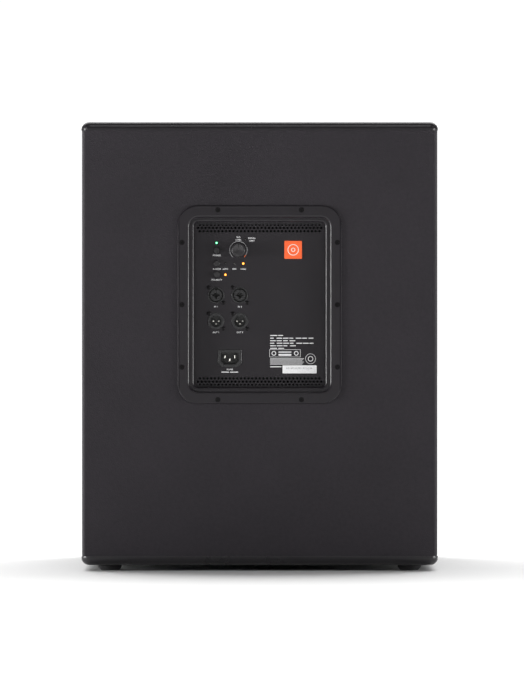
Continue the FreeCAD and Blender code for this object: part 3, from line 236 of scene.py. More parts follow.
def plywood():
    """Birch plywood: long grain, pores and slow colour drift."""
    f = Finish("birch_plywood", (0.52, 0.36, 0.2), 0.62, Specular_IOR_Level=0.35)
    along = f.stretched(1.0, 1.0, 0.08)
    grain = f.noise(3.5, detail=6.0, roughness=0.65, distortion=0.6, place=along)
    pores = f.noise(0.6, detail=2.0, place=along)
    shades = (0.32, (0.36, 0.23, 0.11)), (0.5, (0.5, 0.345, 0.19)), (0.7, (0.62, 0.46, 0.27))
    f.link(f.ramp(grain, *shades), f.shader.inputs["Base Color"])
    return f.bump(f.combined(grain, pores, scale=0.6), 0.12, 0.6).rough(pores, 0.52, 0.72)


def moulded(name, colour, roughness, grain=0.9, depth=0.07, **sockets):
    """Spark-eroded moulded plastic: rounded grains, slight flow marks."""
    f = Finish(name, colour, roughness, **sockets)
    texture = f.cells(grain, "SMOOTH_F1", smooth=0.8)
    fine = f.noise(grain * 0.45, detail=2.0)
    f.bump(f.combined(texture, fine, scale=0.6), depth, 0.7)
    flow = f.noise(38.0, detail=3.0, distortion=0.8)
    f.tinted(f.combined(flow, fine, scale=0.5), 0.93, 1.07, 0.45, 0.95)
    return f.rough(flow, roughness - 0.01, roughness + 0.02)


def tray_moulding():
    """The amplifier tray: semi-gloss, but matt along the flange's left and right edges."""
    matt_from, matt_to = 108.5 * MM, 110.5 * MM
    f = moulded("tray_plastic_finish", (0.0118, 0.0098, 0.0125), 0.32, grain=0.8, depth=0.03)
    apart = f.node("ShaderNodeSeparateXYZ")
    f.link(f.place, apart.inputs[0])
    across = f.node("ShaderNodeMath", operation="ABSOLUTE")
    f.link(apart.outputs["X"], across.inputs[0])
    gloss = f.ranged(across.outputs[0], 0.42, 0.1, matt_from, matt_to)
    f.link(gloss, f.shader.inputs["Specular IOR Level"])
    return f


def rubber(name, colour, roughness=0.78, grain=0.5):
    f = Finish(name, colour, roughness, Specular_IOR_Level=0.3)
    fine = f.noise(grain, detail=4.0)
    f.bump(fine, 0.05, 0.6)
    bloom = f.noise(14.0, detail=4.0, roughness=0.7)
    f.tinted(bloom, 0.8, 1.35, 0.35, 0.75)
    return f.rough(bloom, roughness - 0.1, roughness + 0.1)


def powder_coat(name, colour, roughness, peel=1.1, depth=0.05, **sockets):
    """Powder coat: a close orange peel with soft gloss changes."""
    f = Finish(name, colour, roughness, **sockets)
    skin = f.noise(peel, detail=2.0, roughness=0.5)
    f.bump(skin, depth, 0.8)
    cloud = f.noise(45.0, detail=3.0)
    f.tinted(f.combined(cloud, skin, scale=0.25), 0.92, 1.08, 0.42, 0.82)
    return f.rough(cloud, roughness - 0.05, roughness + 0.05)


def bare_metal(name, colour, roughness, grain=(1.0, 1.0, 1.0), size=0.8, depth=0.02):
    """Plated or machined metal with tool marks, small stains and fingerprints."""
    f = Finish(name, colour, roughness, metallic=1.0)
    marks = f.noise(size, detail=4.0, place=f.stretched(*grain))
    f.bump(marks, depth, 0.6)
    stain = f.noise(16.0, detail=5.0, roughness=0.65)
    f.tinted(stain, 0.82, 1.08, 0.35, 0.7)
    return f.rough(f.combined(marks, stain, scale=0.6), roughness - 0.09, roughness + 0.14, 0.5, 1.1)


def open_foam(name, colour, pore):
    """Open-cell foam: pits between thin walls, with painted shade that darkens the pits and lightens the
    walls.
    """
    f = Finish(name, colour, 0.95, Specular_IOR_Level=0.15)
    pits = f.cells(pore)
    f.bump(pits, pore * 0.5, 0.9)
    # painted shade: the colour darkens in the pits of the bump pattern and lightens on the walls, with
    # patchy tone mixed in
    f.tinted(f.combined(pits, f.noise(12.0, detail=3.0), scale=0.5), 0.35, 1.25, 0.2, 0.9)
    return f


def ferrite():
    f = Finish("ferrite_ceramic", (0.035, 0.035, 0.037), 0.55, Specular_IOR_Level=0.5)
    grain = f.noise(0.9, detail=6.0, roughness=0.7)
    return f.bump(grain, 0.06, 0.8).tinted(grain, 0.6, 1.5).rough(f.noise(6.0), 0.45, 0.68)


def pulp_paper():
    """Pressed paper pulp: short fibres lying every way under a black dye."""
    f = Finish("cone_pulp", (0.022, 0.022, 0.024), 0.88, Sheen_Weight=0.25)
    along = f.noise(1.4, detail=5.0, distortion=2.5, place=f.stretched(0.25, 1.0, 1.0))
    across = f.noise(1.4, detail=5.0, distortion=2.5, place=f.stretched(1.0, 1.0, 0.25))
    fibres = f.combined(along, across)
    f.bump(fibres, 0.22, 0.8)
    return f.tinted(fibres, 0.7, 1.6, 0.75, 1.3)


def woven(name, colour, pitch):
    """Resin-dipped cotton: two crossing sets of threads."""
    f = Finish(name, colour, 0.82, Sheen_Weight=0.2)
    weave = f.combined(f.waves(pitch, "X", 0.4), f.waves(pitch, "Z", 0.4))
    f.bump(weave, 0.16, 0.8)
    # painted shade in the gaps between the threads, mixed with patchy tone in the cloth
    return f.tinted(f.combined(weave, f.noise(9.0), scale=0.8), 0.6, 1.2, 0.5, 2.0)


def copper_winding():
    f = Finish("enamelled_copper", (0.72, 0.29, 0.12), 0.3, metallic=1.0)
    turns = f.waves(0.45, "Y")
    # painted shade: the colour darkens in the grooves between the turns, following the bump's bands
    return f.bump(turns, 0.12, 1.0).tinted(turns, 0.55, 1.1, 0.1, 0.9).rough(f.noise(5.0), 0.22, 0.42)


def extruded_fins():
    f = Finish("black_anodised", (0.02, 0.02, 0.021), 0.42, metallic=0.6)
    lines = f.noise(0.5, detail=3.0, place=f.stretched(1.0, 1.0, 0.03))
    return f.bump(lines, 0.05, 0.7).tinted(lines, 0.7, 1.3).rough(lines, 0.34, 0.5)


def circuit_board():
    """Green solder mask over copper tracks, with small pads."""
    f = Finish("solder_mask", (0.004, 0.02, 0.009), 0.4, Specular_IOR_Level=0.3)
    tracks = f.cells(5.0, "DISTANCE_TO_EDGE")
    pads = f.cells(3.1)
    f.link(f.ramp(tracks, (0.03, (0.009, 0.045, 0.02)), (0.05, (0.004, 0.02, 0.009))),
           f.shader.inputs["Base Color"])
    raised_tracks = f.ranged(tracks, 1.0, 0.0, 0.03, 0.06)
    raised_pads = f.ranged(pads, 1.0, 0.0, 0.1, 0.14)
    f.bump(f.combined(raised_tracks, raised_pads), 0.08, 0.8)
    return f.rough(f.noise(11.0), 0.26, 0.44)


def board_parts():
    """Capacitors, coils and packages: each separate body has its own shade."""
    f = Finish("component_bodies", (0.05, 0.05, 0.055), 0.45)
    each = f.node("ShaderNodeNewGeometry").outputs["Random Per Island"]
    shades = ((0.0, (0.02, 0.02, 0.022)), (0.4, (0.03, 0.035, 0.05)), (0.6, (0.45, 0.43, 0.38)),
              (0.75, (0.02, 0.05, 0.12)), (0.9, (0.35, 0.2, 0.05)))
    f.link(f.ramp(each, *shades), f.shader.inputs["Base Color"])
    return f.bump(f.noise(0.8, detail=4.0), 0.05, 0.6).rough(f.noise(7.0), 0.32, 0.6)


def lit_lens(name, core, glow, strength):
    """A lit LED: nearly white over the chip, its own colour towards the rim."""
    f = Finish(name, glow, 0.25)
    f.shader.inputs["Emission Strength"].default_value = strength
    outward = f.node("ShaderNodeSeparateXYZ")
    f.link(f.node("ShaderNodeTexCoord").outputs["Normal"], outward.inputs[0])
    f.link(f.ramp(outward.outputs["Y"], (0.55, glow), (0.97, core)), f.shader.inputs["Emission Color"])
    return f.rough(f.noise(0.8), 0.2, 0.3)


def dark_lens():
    f = Finish("dark_lens", (0.035, 0.033, 0.032), 0.22, Specular_IOR_Level=0.55)
    return f.bump(f.noise(0.6), 0.01, 0.5).rough(f.noise(0.9), 0.16, 0.3)


def printed(name, colour):
    """Screen-printed ink: slightly uneven cover."""
    f = Finish(name, colour, 0.6)
    cover = f.noise(0.9, detail=5.0, roughness=0.7)
    return f.bump(cover, 0.008, 0.5).tinted(cover, 0.86, 1.04)


def label_paper():
    f = Finish("label_paper", (0.86, 0.86, 0.87), 0.45)
    fibres = f.noise(0.5, detail=5.0)
    return f.bump(fibres, 0.01, 0.5).tinted(fibres, 0.95, 1.02).rough(f.noise(8.0), 0.38, 0.52)


FINISHES = {
    "cabinet_paint": textured_paint(),
    "raw_wood": plywood(),
    "cap_plastic": moulded("cap_moulding", (0.0125, 0.0112, 0.0132), 0.28, grain=1.1, depth=0.014),
    "foot_rubber": rubber("foot_rubber_finish", (0.022, 0.022, 0.023)),
    "handle_plastic": moulded("handle_moulding", (0.0175, 0.016, 0.0182), 0.52, Specular_IOR_Level=0.36),
    "pole_steel": powder_coat("coated_steel", (0.03, 0.03, 0.032), 0.45, metallic=0.5),
    "black_screw": bare_metal("black_oxide", (0.022, 0.021, 0.022), 0.42, size=0.5),
    "grille_steel": powder_coat("grille_coat", (0.018, 0.0166, 0.0188), 0.54, peel=0.6, depth=0.03,
                                Specular_IOR_Level=0.36),
    "grille_foam": open_foam("speaker_foam", (0.016, 0.016, 0.017), 0.9),
    "port_plastic": moulded("port_moulding", (0.02, 0.02, 0.021), 0.48),
    "basket_metal": powder_coat("basket_paint", (0.028, 0.028, 0.03), 0.5, metallic=0.4),
    "gasket_foam": open_foam("sealing_foam", (0.03, 0.03, 0.031), 0.5),
    "plated_steel": bare_metal("zinc_plating", (0.62, 0.61, 0.58), 0.34, grain=(1.0, 1.0, 0.2)),
    "ferrite": ferrite(),
    "cone_paper": pulp_paper(),
    "surround_rubber": rubber("surround_butyl", (0.018, 0.018, 0.019), 0.62, grain=0.8),
    "spider_cloth": woven("spider_weave", (0.62, 0.44, 0.2), 0.9),
    "coil_copper": copper_winding(),
    "tray_plastic": tray_moulding(),
    "panel_paint": powder_coat("panel_coat", (0.0135, 0.0114, 0.0142), 0.52, peel=0.8, depth=0.035,
                               Specular_IOR_Level=0.34),
    "heatsink_metal": extruded_fins(),
    "circuit_board": circuit_board(),
    "board_parts": board_parts(),
    "knob_plastic": moulded("knob_moulding", (0.024, 0.0225, 0.0245), 0.38, grain=0.5, depth=0.02),
    "button_plastic": moulded("button_moulding", (0.017, 0.0162, 0.0175), 0.42, grain=0.5, depth=0.02),
    "led_green": lit_lens("lit_green", (0.45, 1.0, 0.7), (0.0, 0.5, 0.16), 2.6),
    "led_amber": lit_lens("lit_amber", (1.0, 0.62, 0.16), (1.0, 0.26, 0.0), 2.4),
    "led_dark": dark_lens(),
    "jack_plastic": moulded("jack_moulding", (0.022, 0.022, 0.023), 0.26, grain=0.5, depth=0.015),
    "pin_metal": bare_metal("silvered_pins", (0.9, 0.88, 0.82), 0.38, size=0.4),
    "badge_orange": powder_coat("orange_enamel", (0.95, 0.13, 0.028), 0.42, peel=0.8, depth=0.02),
    "cable_sheath": rubber("cable_sheath_finish", (0.02, 0.02, 0.02), 0.5),
}
INK = printed("legend_ink", (0.8, 0.8, 0.81))
GREY_INK = printed("grey_ink", (0.5, 0.5, 0.51))
ORANGE_INK = printed("orange_ink", (0.9, 0.16, 0.03))
PALE_MARK = printed("pale_mark", (0.95, 0.84, 0.78))
LABEL = label_paper()

for cad_object in NODES.values():
    for slot in cad_object.material_slots:
        slot.material = FINISHES[slot.material.name.split(".")[0]].material
# the amplifier's housing is plated steel in the CAD; here it gets the woofer frame's black paint as painted
# shade, so that the vent holes show dark
NODES["amp_housing"].material_slots[0].material = FINISHES["basket_metal"].material


# ---- the perforated grille and the foam behind it ----
GRILLE_LOW, GRILLE_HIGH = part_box("grille")
SHEET = 1.5 * MM
BEND = 10.0 * MM
HOLE_PITCH = 6.03 * MM
HOLE_RADIUS = 2.75 * MM
PLAIN_EDGE = 6.0 * MM
SCREW_HOLE = 3.7 * MM   # radius
DRILL_LENGTH = 20.0 * MM
SMALLEST_FACE = 1e-9    # square metres; anything smaller is a cell squashed flat by the sheet's edge


def hexagon(x, z, radius, stretch=1.0):
    """The corners of a hexagon with its points up and down."""
    angles = [math.radians(30 + 60 * k) for k in range(6)]
    return [(x + radius * math.cos(a), z + radius * stretch * math.sin(a)) for a in angles]


def honeycomb(left, right, low, high):
    """Hexagonal cells that tile a rectangle: (corners held inside it, centre) for each."""
    columns = round((right - left) / HOLE_PITCH)
    pitch = (right - left) / columns
    rows = 2 * round((high - low) / (pitch * math.sqrt(3)))
    step = (high - low) / rows
    stretch = step / (pitch * math.sqrt(3) / 2)
    for row in range(rows + 1):
        shift = 0.5 * (row % 2)
        for column in range(columns + 1):
            x, z = left + (column + shift) * pitch, low + row * step
            corners = hexagon(x, z, pitch / math.sqrt(3), stretch)
            held = [(min(max(a, left), right), min(max(b, low), high)) for a, b in corners]
            yield held, (x, z)


def sheet_mesh(name, flat_faces, front, back):
    """A sheet from faces drawn in the XZ plane, with a wall along every open edge."""
    spots = {}
    points = []

    def index(corner):
        key = (round(corner[0] / MM, 3), round(corner[1] / MM, 3))
        if key not in spots:
            spots[key] = len(points)
            points.append(corner)
        return spots[key]

    faces = []
    for corners in flat_faces:
        ring = [index(c) for c in corners]
        ring = [a for a, b in zip(ring, ring[1:] + ring[:1]) if a != b]
        if len(ring) > 2 and abs(area([points[i] for i in ring])) > SMALLEST_FACE:
            faces.append(ring)
    edges = {(a, b) for ring in faces for a, b in zip(ring, ring[1:] + ring[:1])}
    rim = [(a, b) for a, b in edges if (b, a) not in edges]
    count = len(points)
    vertices = [(x, front, z) for x, z in points] + [(x, back, z) for x, z in points]
    walls = [(b, a, a + count, b + count) for a, b in rim]
    rear = [[i + count for i in reversed(ring)] for ring in faces]
    mesh = bpy.data.meshes.new(name)
    mesh.from_pydata(vertices, [], faces + rear + walls)
    mesh.update()
    return mesh


def area(corners):
    """The signed area of a polygon in the XZ plane."""
    pairs = zip(corners, corners[1:] + corners[:1])
    return sum(a[0] * b[1] - b[0] * a[1] for a, b in pairs) / 2


def perforated_front():
    """The grille's flat front in four quarters, each a honeycomb of hexagonal holes."""
    left, right = GRILLE_LOW.x + BEND, GRILLE_HIGH.x - BEND
    low, high = GRILLE_LOW.z, GRILLE_HIGH.z
    middle = (low + high) / 2
    quarters = {"upper_left": [], "upper_right": [], "lower_left": [], "lower_right": []}
    for corners, (x, z) in honeycomb(left, right, low, high):
        quarter = ("upper" if z > middle else "lower") + ("_left" if x < 0 else "_right")
        inside_x = left + PLAIN_EDGE < x < right - PLAIN_EDGE
        if inside_x and low + PLAIN_EDGE < z < high - PLAIN_EDGE:
            hole = hexagon(x, z, HOLE_RADIUS)
            for k in range(6):
                n = (k + 1) % 6
                quarters[quarter].append([corners[k], corners[n], hole[n], hole[k]])
        else:
            quarters[quarter].append(corners)
    pieces = []
    for quarter, faces in quarters.items():
        name = "grille_mesh_" + quarter
        mesh = sheet_mesh(name, faces, GRILLE_LOW.y, GRILLE_LOW.y + SHEET)
        pieces.append(new_piece(name, mesh, FINISHES["grille_steel"].material))
    return pieces


def grille_fold(side):
    """One folded side of the grille: the bend and the return that the screws go through."""
    edge = GRILLE_HIGH.x
    steps = 10
    bend_x, bend_y = edge - BEND, GRILLE_LOW.y + BEND
    turns = [math.pi / 2 * i / steps for i in range(steps + 1)]
    outer, inner = ([(bend_x + r * math.sin(t), bend_y - r * math.cos(t)) for t in turns]
                    for r in (BEND, BEND - SHEET))
    outer.append((edge, GRILLE_HIGH.y))
    inner.append((edge - SHEET, GRILLE_HIGH.y))
    section = outer + inner[::-1]

    def build(bm):
        low = [bm.verts.new((side * x, y, GRILLE_LOW.z)) for x, y in section]
        high = [bm.verts.new((side * x, y, GRILLE_HIGH.z)) for x, y in section]
        bm.faces.new(low)
        bm.faces.new(high)
        for i in range(len(section)):
            n = (i + 1) % len(section)
            bm.faces.new((low[i], low[n], high[n], high[i]))
        bmesh.ops.recalc_face_normals(bm, faces=bm.faces)

    name = "grille_fold_left" if side < 0 else "grille_fold_right"
    piece = new_piece(name, mesh_of(name, build), FINISHES["grille_steel"].material)
    drill_fold(piece, side)
    return piece


def islands(mesh):
    """The vertex groups of a mesh that aren't joined to each other, as lists of points."""
    parent = list(range(len(mesh.vertices)))

    def root(i):
        while parent[i] != i:
            parent[i] = parent[parent[i]]
            i = parent[i]
        return i

    for edge in mesh.edges:
        parent[root(edge.vertices[0])] = root(edge.vertices[1])
    groups = {}
    for vertex in mesh.vertices:
        groups.setdefault(root(vertex.index), []).append(vertex.co)
    return list(groups.values())


def drill_fold(piece, side):
    """Cuts the screw holes, at the heads of the grille's own screws."""
    for points in islands(NODES["grille_screws"].data):
        middle = sum(points, Vector()) / len(points)
        if middle.x * side < 0:
            continue
        drill = mesh_of("drill", lambda bm: bmesh.ops.create_cone(
            bm, cap_ends=True, segments=40, radius1=SCREW_HOLE, radius2=SCREW_HOLE, depth=DRILL_LENGTH))
        low_y, high_y = min(p.y for p in points), max(p.y for p in points)
        low_z, high_z = min(p.z for p in points), max(p.z for p in points)
        centre = Vector((side * GRILLE_HIGH.x, (low_y + high_y) / 2, (low_z + high_z) / 2))
        drill.transform(Matrix.Translation(centre) @ Matrix.Rotation(math.pi / 2, 4, "Y"))
        cutter = linked("drill", drill)
        cut = piece.modifiers.new("hole", "BOOLEAN")
        cut.object = cutter
        cut.operation = "DIFFERENCE"
        apply_modifiers(piece)
        bpy.data.objects.remove(cutter)


def apply_modifiers(piece):
    graph = bpy.context.evaluated_depsgraph_get()
    done = bpy.data.meshes.new_from_object(piece.evaluated_get(graph))
    piece.modifiers.clear()
    piece.data = done


def foam_sheet():
    """The acoustic foam behind the grille: a soft, slightly uneven sheet with rounded edges."""
    low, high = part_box("grille_foam")
    columns, rows = 90, 110
    rounding = 1.5 * MM
    wave_height, waves_per_metre = 0.35 * MM, 22.0

    def surface(x, y, z):
        """The Y of the sheet's front or back, with its rounded edge and its small waves."""
        inset = min(x - low.x, high.x - x, z - low.z, high.z - z)
        pull = rounding * (1 - min(inset / (3 * rounding), 1)) ** 2
        wave = wave_height * (1 + noise.noise(Vector((x, 0, z)) * waves_per_metre))
        middle = (low.y + high.y) / 2
        reach = (high.y - low.y) / 2 - pull - wave
        return middle + math.copysign(reach, y - middle)

    def build(bm):
        grids = []
        for y in (low.y, high.y):
            grid = []
            for j in range(rows + 1):
                z = low.z + (high.z - low.z) * j / rows
                line = []
                for i in range(columns + 1):
                    x = low.x + (high.x - low.x) * i / columns
                    line.append(bm.verts.new((x, surface(x, y, z), z)))
                grid.append(line)
            grids.append(grid)
        for grid in grids:
            for a, b in zip(grid, grid[1:]):
                for i in range(columns):
                    bm.faces.new((a[i], a[i + 1], b[i + 1], b[i]))
        rims = []
        for grid in grids:
            rim = grid[0] + [line[-1] for line in grid[1:]] + grid[-1][-2::-1]
            rims.append(rim + [line[0] for line in grid[-2:0:-1]])
        for i in range(len(rims[0])):
            n = (i + 1) % len(rims[0])
            bm.faces.new((rims[0][i], rims[0][n], rims[1][n], rims[1][i]))
        bmesh.ops.recalc_face_normals(bm, faces=bm.faces)

    mesh = mesh_of("foam_liner", build)
    piece = new_piece("foam_liner", mesh, FINISHES["grille_foam"].material, smooth=True)
    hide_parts("grille_foam")
    return piece


front_pieces = perforated_front()
front_pieces += [grille_fold(-1), grille_fold(1)]
for grille_piece in front_pieces:
    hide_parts("grille")
foam_sheet()


# ---- the woofer's soft parts: rings cut into sectors ----
def woofer_hub():
    """The point where the woofer's axis meets the baffle's front face."""
    low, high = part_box("woofer_frame")
    return Vector(((low.x + high.x) / 2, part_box("front_baffle")[0].y, (low.z + high.z) / 2))


def soft_ring(name, node, finish, profile, count, steps):
    """Turns a closed outline of (radius, depth), in millimetres, round the woofer's axis in sectors.
    """
    hub = woofer_hub()
    sector = 2 * math.pi / count
    for number in range(count):
        middle = sector * number

        def build(bm):
            rows = []
            for k in range(steps + 1):
                angle = middle + sector * (k / steps - 0.5)
                x, z = math.cos(angle), math.sin(angle)
                rows.append([bm.verts.new(hub + MM * Vector((x * r, depth, z * r))) for r, depth in profile])
            for a, b in zip(rows, rows[1:]):
                for i in range(len(profile)):
                    n = (i + 1) % len(profile)
                    bm.faces.new((a[i], a[n], b[n], b[i]))
            for end in (bm.faces.new(rows[0]), bm.faces.new(rows[-1][::-1])):
                for edge in end.edges:
                    edge.smooth = False
            bmesh.ops.recalc_face_normals(bm, faces=bm.faces)

        piece = linked(f"{name}_{number + 1:02d}", mesh_of(name, build))
        piece.data.materials.append(FINISHES[finish].material)
        for face in piece.data.polygons:
            face.use_smooth = len(face.vertices) == 4
        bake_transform(piece)
        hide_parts(node)


def surround_outline():
    """A half-roll of even thickness with a thin foot on each side."""
    inner_foot, inner_edge, outer_edge, outer_foot = 153.0, 158.0, 174.0, 180.0
    skin, back = 0.9, -0.2
    front = back - skin
    middle, reach = (inner_edge + outer_edge) / 2, (outer_edge - inner_edge) / 2
    turns = [math.pi * k / 24 for k in range(25)]
    outside = [(middle - reach * math.cos(t), front - reach * math.sin(t)) for t in turns]
    inside = [(middle + (reach - skin) * math.cos(t), back - (reach - skin) * math.sin(t)) for t in turns]
    feet = [(inner_foot, back), (inner_foot, front)], [(outer_foot, front), (outer_foot, back)]
    return feet[0] + outside + feet[1] + inside


def spider_outline():
    """Five even corrugations with a flat foot outside them."""
    start, end, foot_end = 38.25, 86.0, 89.0
    skin, level, foot_back, height = 0.7, 82.34, 84.0, 0.62
    corrugations, points = 5, 70
    turn = 2 * math.pi * corrugations
    wave = [(start + (end - start) * k / points, level + height * math.sin(turn * k / points))
            for k in range(points + 1)]
    foot = [(foot_end, level), (foot_end, foot_back), (end + 0.2, foot_back)]
    return wave + foot + [(r, h + skin) for r, h in wave[::-1]]


soft_ring("surround_roll", "woofer_surround", "surround_rubber", surround_outline(), 48,
          steps=4)
soft_ring("spider_web", "woofer_spider", "spider_cloth", spider_outline(), 16,
          steps=8)


# ---- artwork on the control panel: places and sizes in mm from the panel's centre ----
KNOB_AT = (-29.0, 74.6)
SCALE_RADIUS = 12.0
BUTTON_U = -58.5
LAMP_LEGEND_V = 48.8
SIGNAL_U = -10.6
INK_DEPTH = 0.03 * MM
LETTER_HEIGHT = 2.15
FONT_SIZE = 1.38 * MM       # for a capital 1 mm high
LETTER_WEIGHT = 0.022 * MM  # how far each outline is thickened, for a capital 1 mm high
LETTER_SPACING = 1.06
SMALL_PRINT = 1.25
SMALL_PRINT_LEFT = 14.2


class Artwork:
    """Flat printing on the panel, gathered into one mesh: u and v in mm from the panel's centre."""

    def __init__(self, name, material, lift=INK_PROUD):
        self.name = name
        self.material = material
        self.lift = lift
        self.bm = bmesh.new()

    def add_mesh(self, mesh, matrix):
        mesh.transform(matrix)
        self.bm.from_mesh(mesh)
        bpy.data.meshes.remove(mesh)

    def words(self, text, u, v):
        """A legend in capitals, centred on a point."""
        curve = bpy.data.curves.new(text, "FONT")
        curve.body = text
        curve.size = LETTER_HEIGHT * FONT_SIZE
        curve.align_x = "CENTER"
        curve.align_y = "CENTER"
        curve.offset = LETTER_HEIGHT * LETTER_WEIGHT
        curve.space_character = LETTER_SPACING
        curve.extrude = INK_DEPTH / 2
        curve.resolution_u = 4
        holder = linked(text, curve)
        graph = bpy.context.evaluated_depsgraph_get()
        mesh = bpy.data.meshes.new_from_object(holder.evaluated_get(graph))
        bpy.data.objects.remove(holder)
        bpy.data.curves.remove(curve)
        self.add_mesh(mesh, facing_back(u, v, self.lift))

    def outline(self, points, holes=()):
        """A flat shape from its outer loop and its holes, given as lists of (u, v)."""
        loops = []
        for loop in (points, *holes):
            corners = [self.bm.verts.new(on_panel(u, v, self.lift)) for u, v in loop]
            loops.append([self.bm.edges.new(pair) for pair in zip(corners, corners[1:] + corners[:1])])
        filled = bmesh.ops.triangle_fill(self.bm, edges=sum(loops, []), use_beauty=True)
        faces = [g for g in filled["geom"] if isinstance(g, bmesh.types.BMFace)]
        raised = bmesh.ops.extrude_face_region(self.bm, geom=faces)
        moved = [g for g in raised["geom"] if isinstance(g, bmesh.types.BMVert)]
        bmesh.ops.translate(self.bm, verts=moved, vec=(0, INK_DEPTH, 0))

    def bar(self, left, v, width, height):
        """A line of small print, shown as a bar with round ends."""
        r = height / 2
        turn = [math.pi / 2 + math.pi * k / 6 for k in range(7)]
        ends = [(left + r + r * math.cos(t), v + r * math.sin(t)) for t in turn]
        ends += [(left + width - r - r * math.cos(t), v - r * math.sin(t)) for t in turn]
        self.outline(ends)

    def frame_box(self, left, right, low, high, line):
        """The border of a rectangle."""
        outer = [(left, low), (right, low), (right, high), (left, high)]
        inner = [(left + line, low + line), (right - line, low + line),
                 (right - line, high - line), (left + line, high - line)]
        self.outline(outer, [inner])

    def ring(self, u, v, radius, line, start=0.0, sweep=360.0):
        """A circle, or an arc that starts at an angle from 12 o'clock and runs clockwise, in degrees."""
        steps = max(8, round(sweep / 6))
        closed = sweep >= 360
        angles = [math.radians(start + sweep * i / steps) for i in range(steps if closed else steps + 1)]
        outer, inner = ([(u + r * math.sin(a), v + r * math.cos(a)) for a in angles]
                        for r in (radius + line / 2, radius - line / 2))
        if closed:
            self.outline(outer, [inner])
        else:
            self.outline(outer + inner[::-1])

    def finish(self):
        bmesh.ops.recalc_face_normals(self.bm, faces=self.bm.faces)
        mesh = bpy.data.meshes.new(self.name)
        self.bm.to_mesh(mesh)
        self.bm.free()
        return new_piece(self.name, mesh, self.material.material)


def legends():
    """The names of the controls and sockets."""
    art = Artwork("panel_legends", INK)
    for text, v in (("POWER", 67.4), ("X-OVER", LAMP_LEGEND_V), ("POLARITY", 34.0)):
        art.words(text, BUTTON_U, v)
    for text, u in (("LOW", -46.6), ("MID", -34.5), ("HIGH", -22.4)):
        art.words(text, u, LAMP_LEGEND_V)
    for text, v in (("SUB", 92.4), ("LEVEL", 88.7)):
        art.words(text, KNOB_AT[0], v)
    for text, v in (("SIGNAL", 90.9), ("LIMIT", 87.3)):
        art.words(text, SIGNAL_U, v)
    for u, number in ((-59.6, 1), (-27.1, 2)):
        art.words(f"IN {number}", u, -2.7)
        art.words(f"OUT {number}", u, -37.7)
    art.words("MAINS", -40.8, -88.5)
    for left, width in ((-52.3, 10.6), (-40.3, 11.0)):
        art.bar(left, -92.0, width, 1.2)
    return art.finish()


def knob_scale():
    """The scale round the volume knob, 140 degrees each way from 12 o'clock, its loud end in orange."""
    art = Artwork("knob_scale", GREY_INK)
    art.ring(*KNOB_AT, SCALE_RADIUS, 0.55, start=-140, sweep=262)
    tip = Artwork("knob_scale_tip", ORANGE_INK)
    tip.ring(*KNOB_AT, SCALE_RADIUS, 0.9, start=124, sweep=16)
    return art.finish(), tip.finish()


def information_block():
    """Blank stand-ins for the small print: bars, a bordered box with bars and rings, and two more rings."""
    art = Artwork("information_print", INK)
    lines = ((-41.9, 22.0), (-45.6, 61.3), (-49.1, 35.4), (-52.5, 62.7), (-56.0, 36.3), (-59.5, 22.3))
    for v, width in lines:
        words = max(2, round(width / 9))
        start = SMALL_PRINT_LEFT
        for i in range(words):
            share = 1.0 + 0.35 * math.sin(2.3 * i + v)
            word_width = (width / words - 0.9) * min(share, 1.0)
            art.bar(start, v, word_width, SMALL_PRINT)
            start += width / words
    art.frame_box(13.4, 55.8, -71.5, -61.0, 0.45)
    art.bar(25.5, -64.6, 18.0, 1.5)
    art.bar(25.5, -68.4, 18.0, 2.6)
    for u in (19.4, 50.0):
        art.ring(u, -66.3, 2.6, 1.1)
    for i in range(6):
        art.bar(SMALL_PRINT_LEFT, -73.5 - 1.55 * i, 46.5 - 1.3 * (i % 3), 0.6)
    for radius, line in ((6.8, 0.55), (3.2, 0.9)):
        art.ring(69.5, -73.8, radius, line)
    art.bar(SMALL_PRINT_LEFT, -84.7, 15.8, SMALL_PRINT)
    return art.finish()


def blank_sticker():
    """A paper sticker with rounded corners; its print is left as a row of uneven grey bars."""
    left, right, low, high, corner = 31.2, 77.8, -93.7, -82.7, 0.8
    centres = ((right - corner, high - corner, 0), (left + corner, high - corner, 90),
               (left + corner, low + corner, 180), (right - corner, low + corner, 270))
    turns = [(u, v, math.radians(a + 15 * k)) for u, v, a in centres for k in range(7)]
    points = [(u + corner * math.cos(t), v + corner * math.sin(t)) for u, v, t in turns]
    paper = Artwork("blank_sticker", LABEL)
    paper.outline(points)
    strip = Artwork("sticker_strip", printed("strip_ink", (0.3, 0.3, 0.31)), lift=INK_PROUD + INK_DEPTH)
    for i in range(22):
        strip.bar(36.4 + 1.62 * i, -86.6, 0.75 + 0.4 * math.sin(1.9 * i), 2.2)
    return paper.finish(), strip.finish()


def badge_mark():
    """Two plain rings on the coloured plate."""
    low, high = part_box("badge_plate")
    u, v = -(low.x + high.x) / 2 / MM, ((low.z + high.z) / 2 - PANEL_CENTRE_Z) / MM
    art = Artwork("badge_rings", PALE_MARK, lift=high.y - PANEL_FACE + 0.02 * MM)
    for radius in (2.4, 7.2):
        art.ring(u, v, radius, 1.0)
    return art.finish()


legends()
knob_scale()
information_block()
blank_sticker()
badge_mark()


# ---- the studio ----
CAMERA_DISTANCE = 8.0
FRAME_HEIGHT = 0.9523
CAMERA_X = -0.0032
CAMERA_Z = 0.3030
SENSOR = 36.0
LIGHTS_AIM = (0.0, 0.25, 0.35)


def aim(holder, spot, target):
    """Puts a camera or light at a spot, looking at a target."""
    holder.location = spot
    holder.rotation_euler = (Vector(target) - Vector(spot)).to_track_quat("-Z", "Y").to_euler()


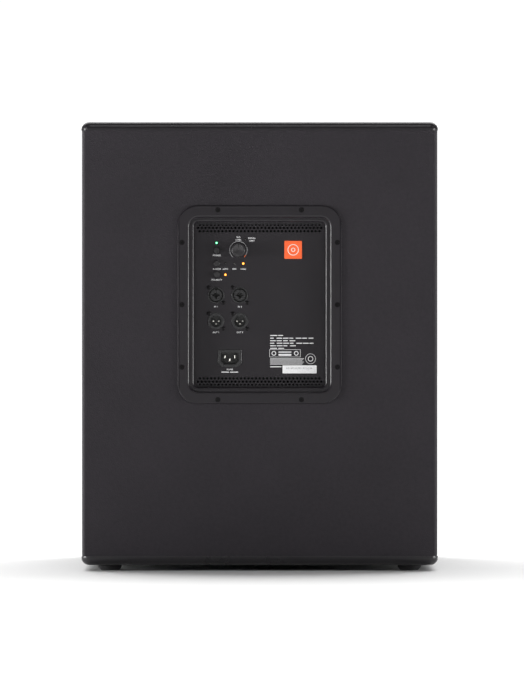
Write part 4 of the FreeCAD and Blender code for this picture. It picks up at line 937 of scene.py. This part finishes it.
def make_camera():
    """A long lens, straight behind the object."""
    data = bpy.data.cameras.new("camera")
    data.sensor_width = SENSOR
    data.lens = SENSOR * CAMERA_DISTANCE / FRAME_HEIGHT
    data.clip_end = 100.0
    holder = linked("camera", data)
    aim(holder, (CAMERA_X, BACK + CAMERA_DISTANCE, CAMERA_Z), (CAMERA_X, 0, CAMERA_Z))
    bpy.context.scene.camera = holder


def soft_light(name, spot, target, width, height, watts):
    data = bpy.data.lights.new(name, "AREA")
    data.shape = "RECTANGLE"
    data.size, data.size_y = width, height
    data.energy = watts
    aim(linked(name, data), spot, target)


def overhead_light(tilt, spread, strength):
    """A wide, even light from above, tilted so that its shadow falls behind the object."""
    data = bpy.data.lights.new("overhead", "SUN")
    data.angle = math.radians(spread)
    data.energy = strength
    lean = math.radians(tilt)
    aim(linked("overhead", data), (0, -math.sin(lean), math.cos(lean)), (0, 0, 0))


def make_floor():
    """A wide pale floor, shown as white where nothing shades it."""
    reach = 60.0
    mesh = mesh_of("floor", lambda bm: bmesh.ops.create_grid(bm, x_segments=1, y_segments=1, size=reach))
    floor = linked("floor", mesh)
    pale = Finish("pale_floor", (0.62, 0.62, 0.62), 0.9, Specular_IOR_Level=0.0)
    mesh.materials.append(pale.material)


def make_world(seen, lighting):
    """White to the camera, dimmer as a light on the object."""
    world = bpy.data.worlds.new("studio")
    bpy.context.scene.world = world
    world.use_nodes = True
    tree = world.node_tree
    background = tree.nodes["Background"]
    camera_ray = tree.nodes.new("ShaderNodeLightPath").outputs["Is Camera Ray"]
    level = tree.nodes.new("ShaderNodeMapRange")
    tree.links.new(camera_ray, level.inputs["Value"])
    level.inputs["To Min"].default_value = lighting
    level.inputs["To Max"].default_value = seen
    tree.links.new(level.outputs["Result"], background.inputs["Strength"])
    background.inputs["Color"].default_value = (1.0, 1.0, 1.0, 1.0)


make_camera()
make_floor()
make_world(seen=1.05, lighting=0.07)
overhead_light(tilt=47.0, spread=84.0, strength=8.2)
soft_light("right_softbox", (-2.4, 1.0, 0.29), LIGHTS_AIM, 0.75, 0.5, 38.0)
soft_light("left_softbox", (2.4, 0.9, 0.29), LIGHTS_AIM, 0.75, 0.5, 62.0)
soft_light("high_key", (-0.4, 3.4, 3.5), LIGHTS_AIM, 2.6, 0.5, 22.0)
bpy.context.scene.view_settings.view_transform = "Standard"
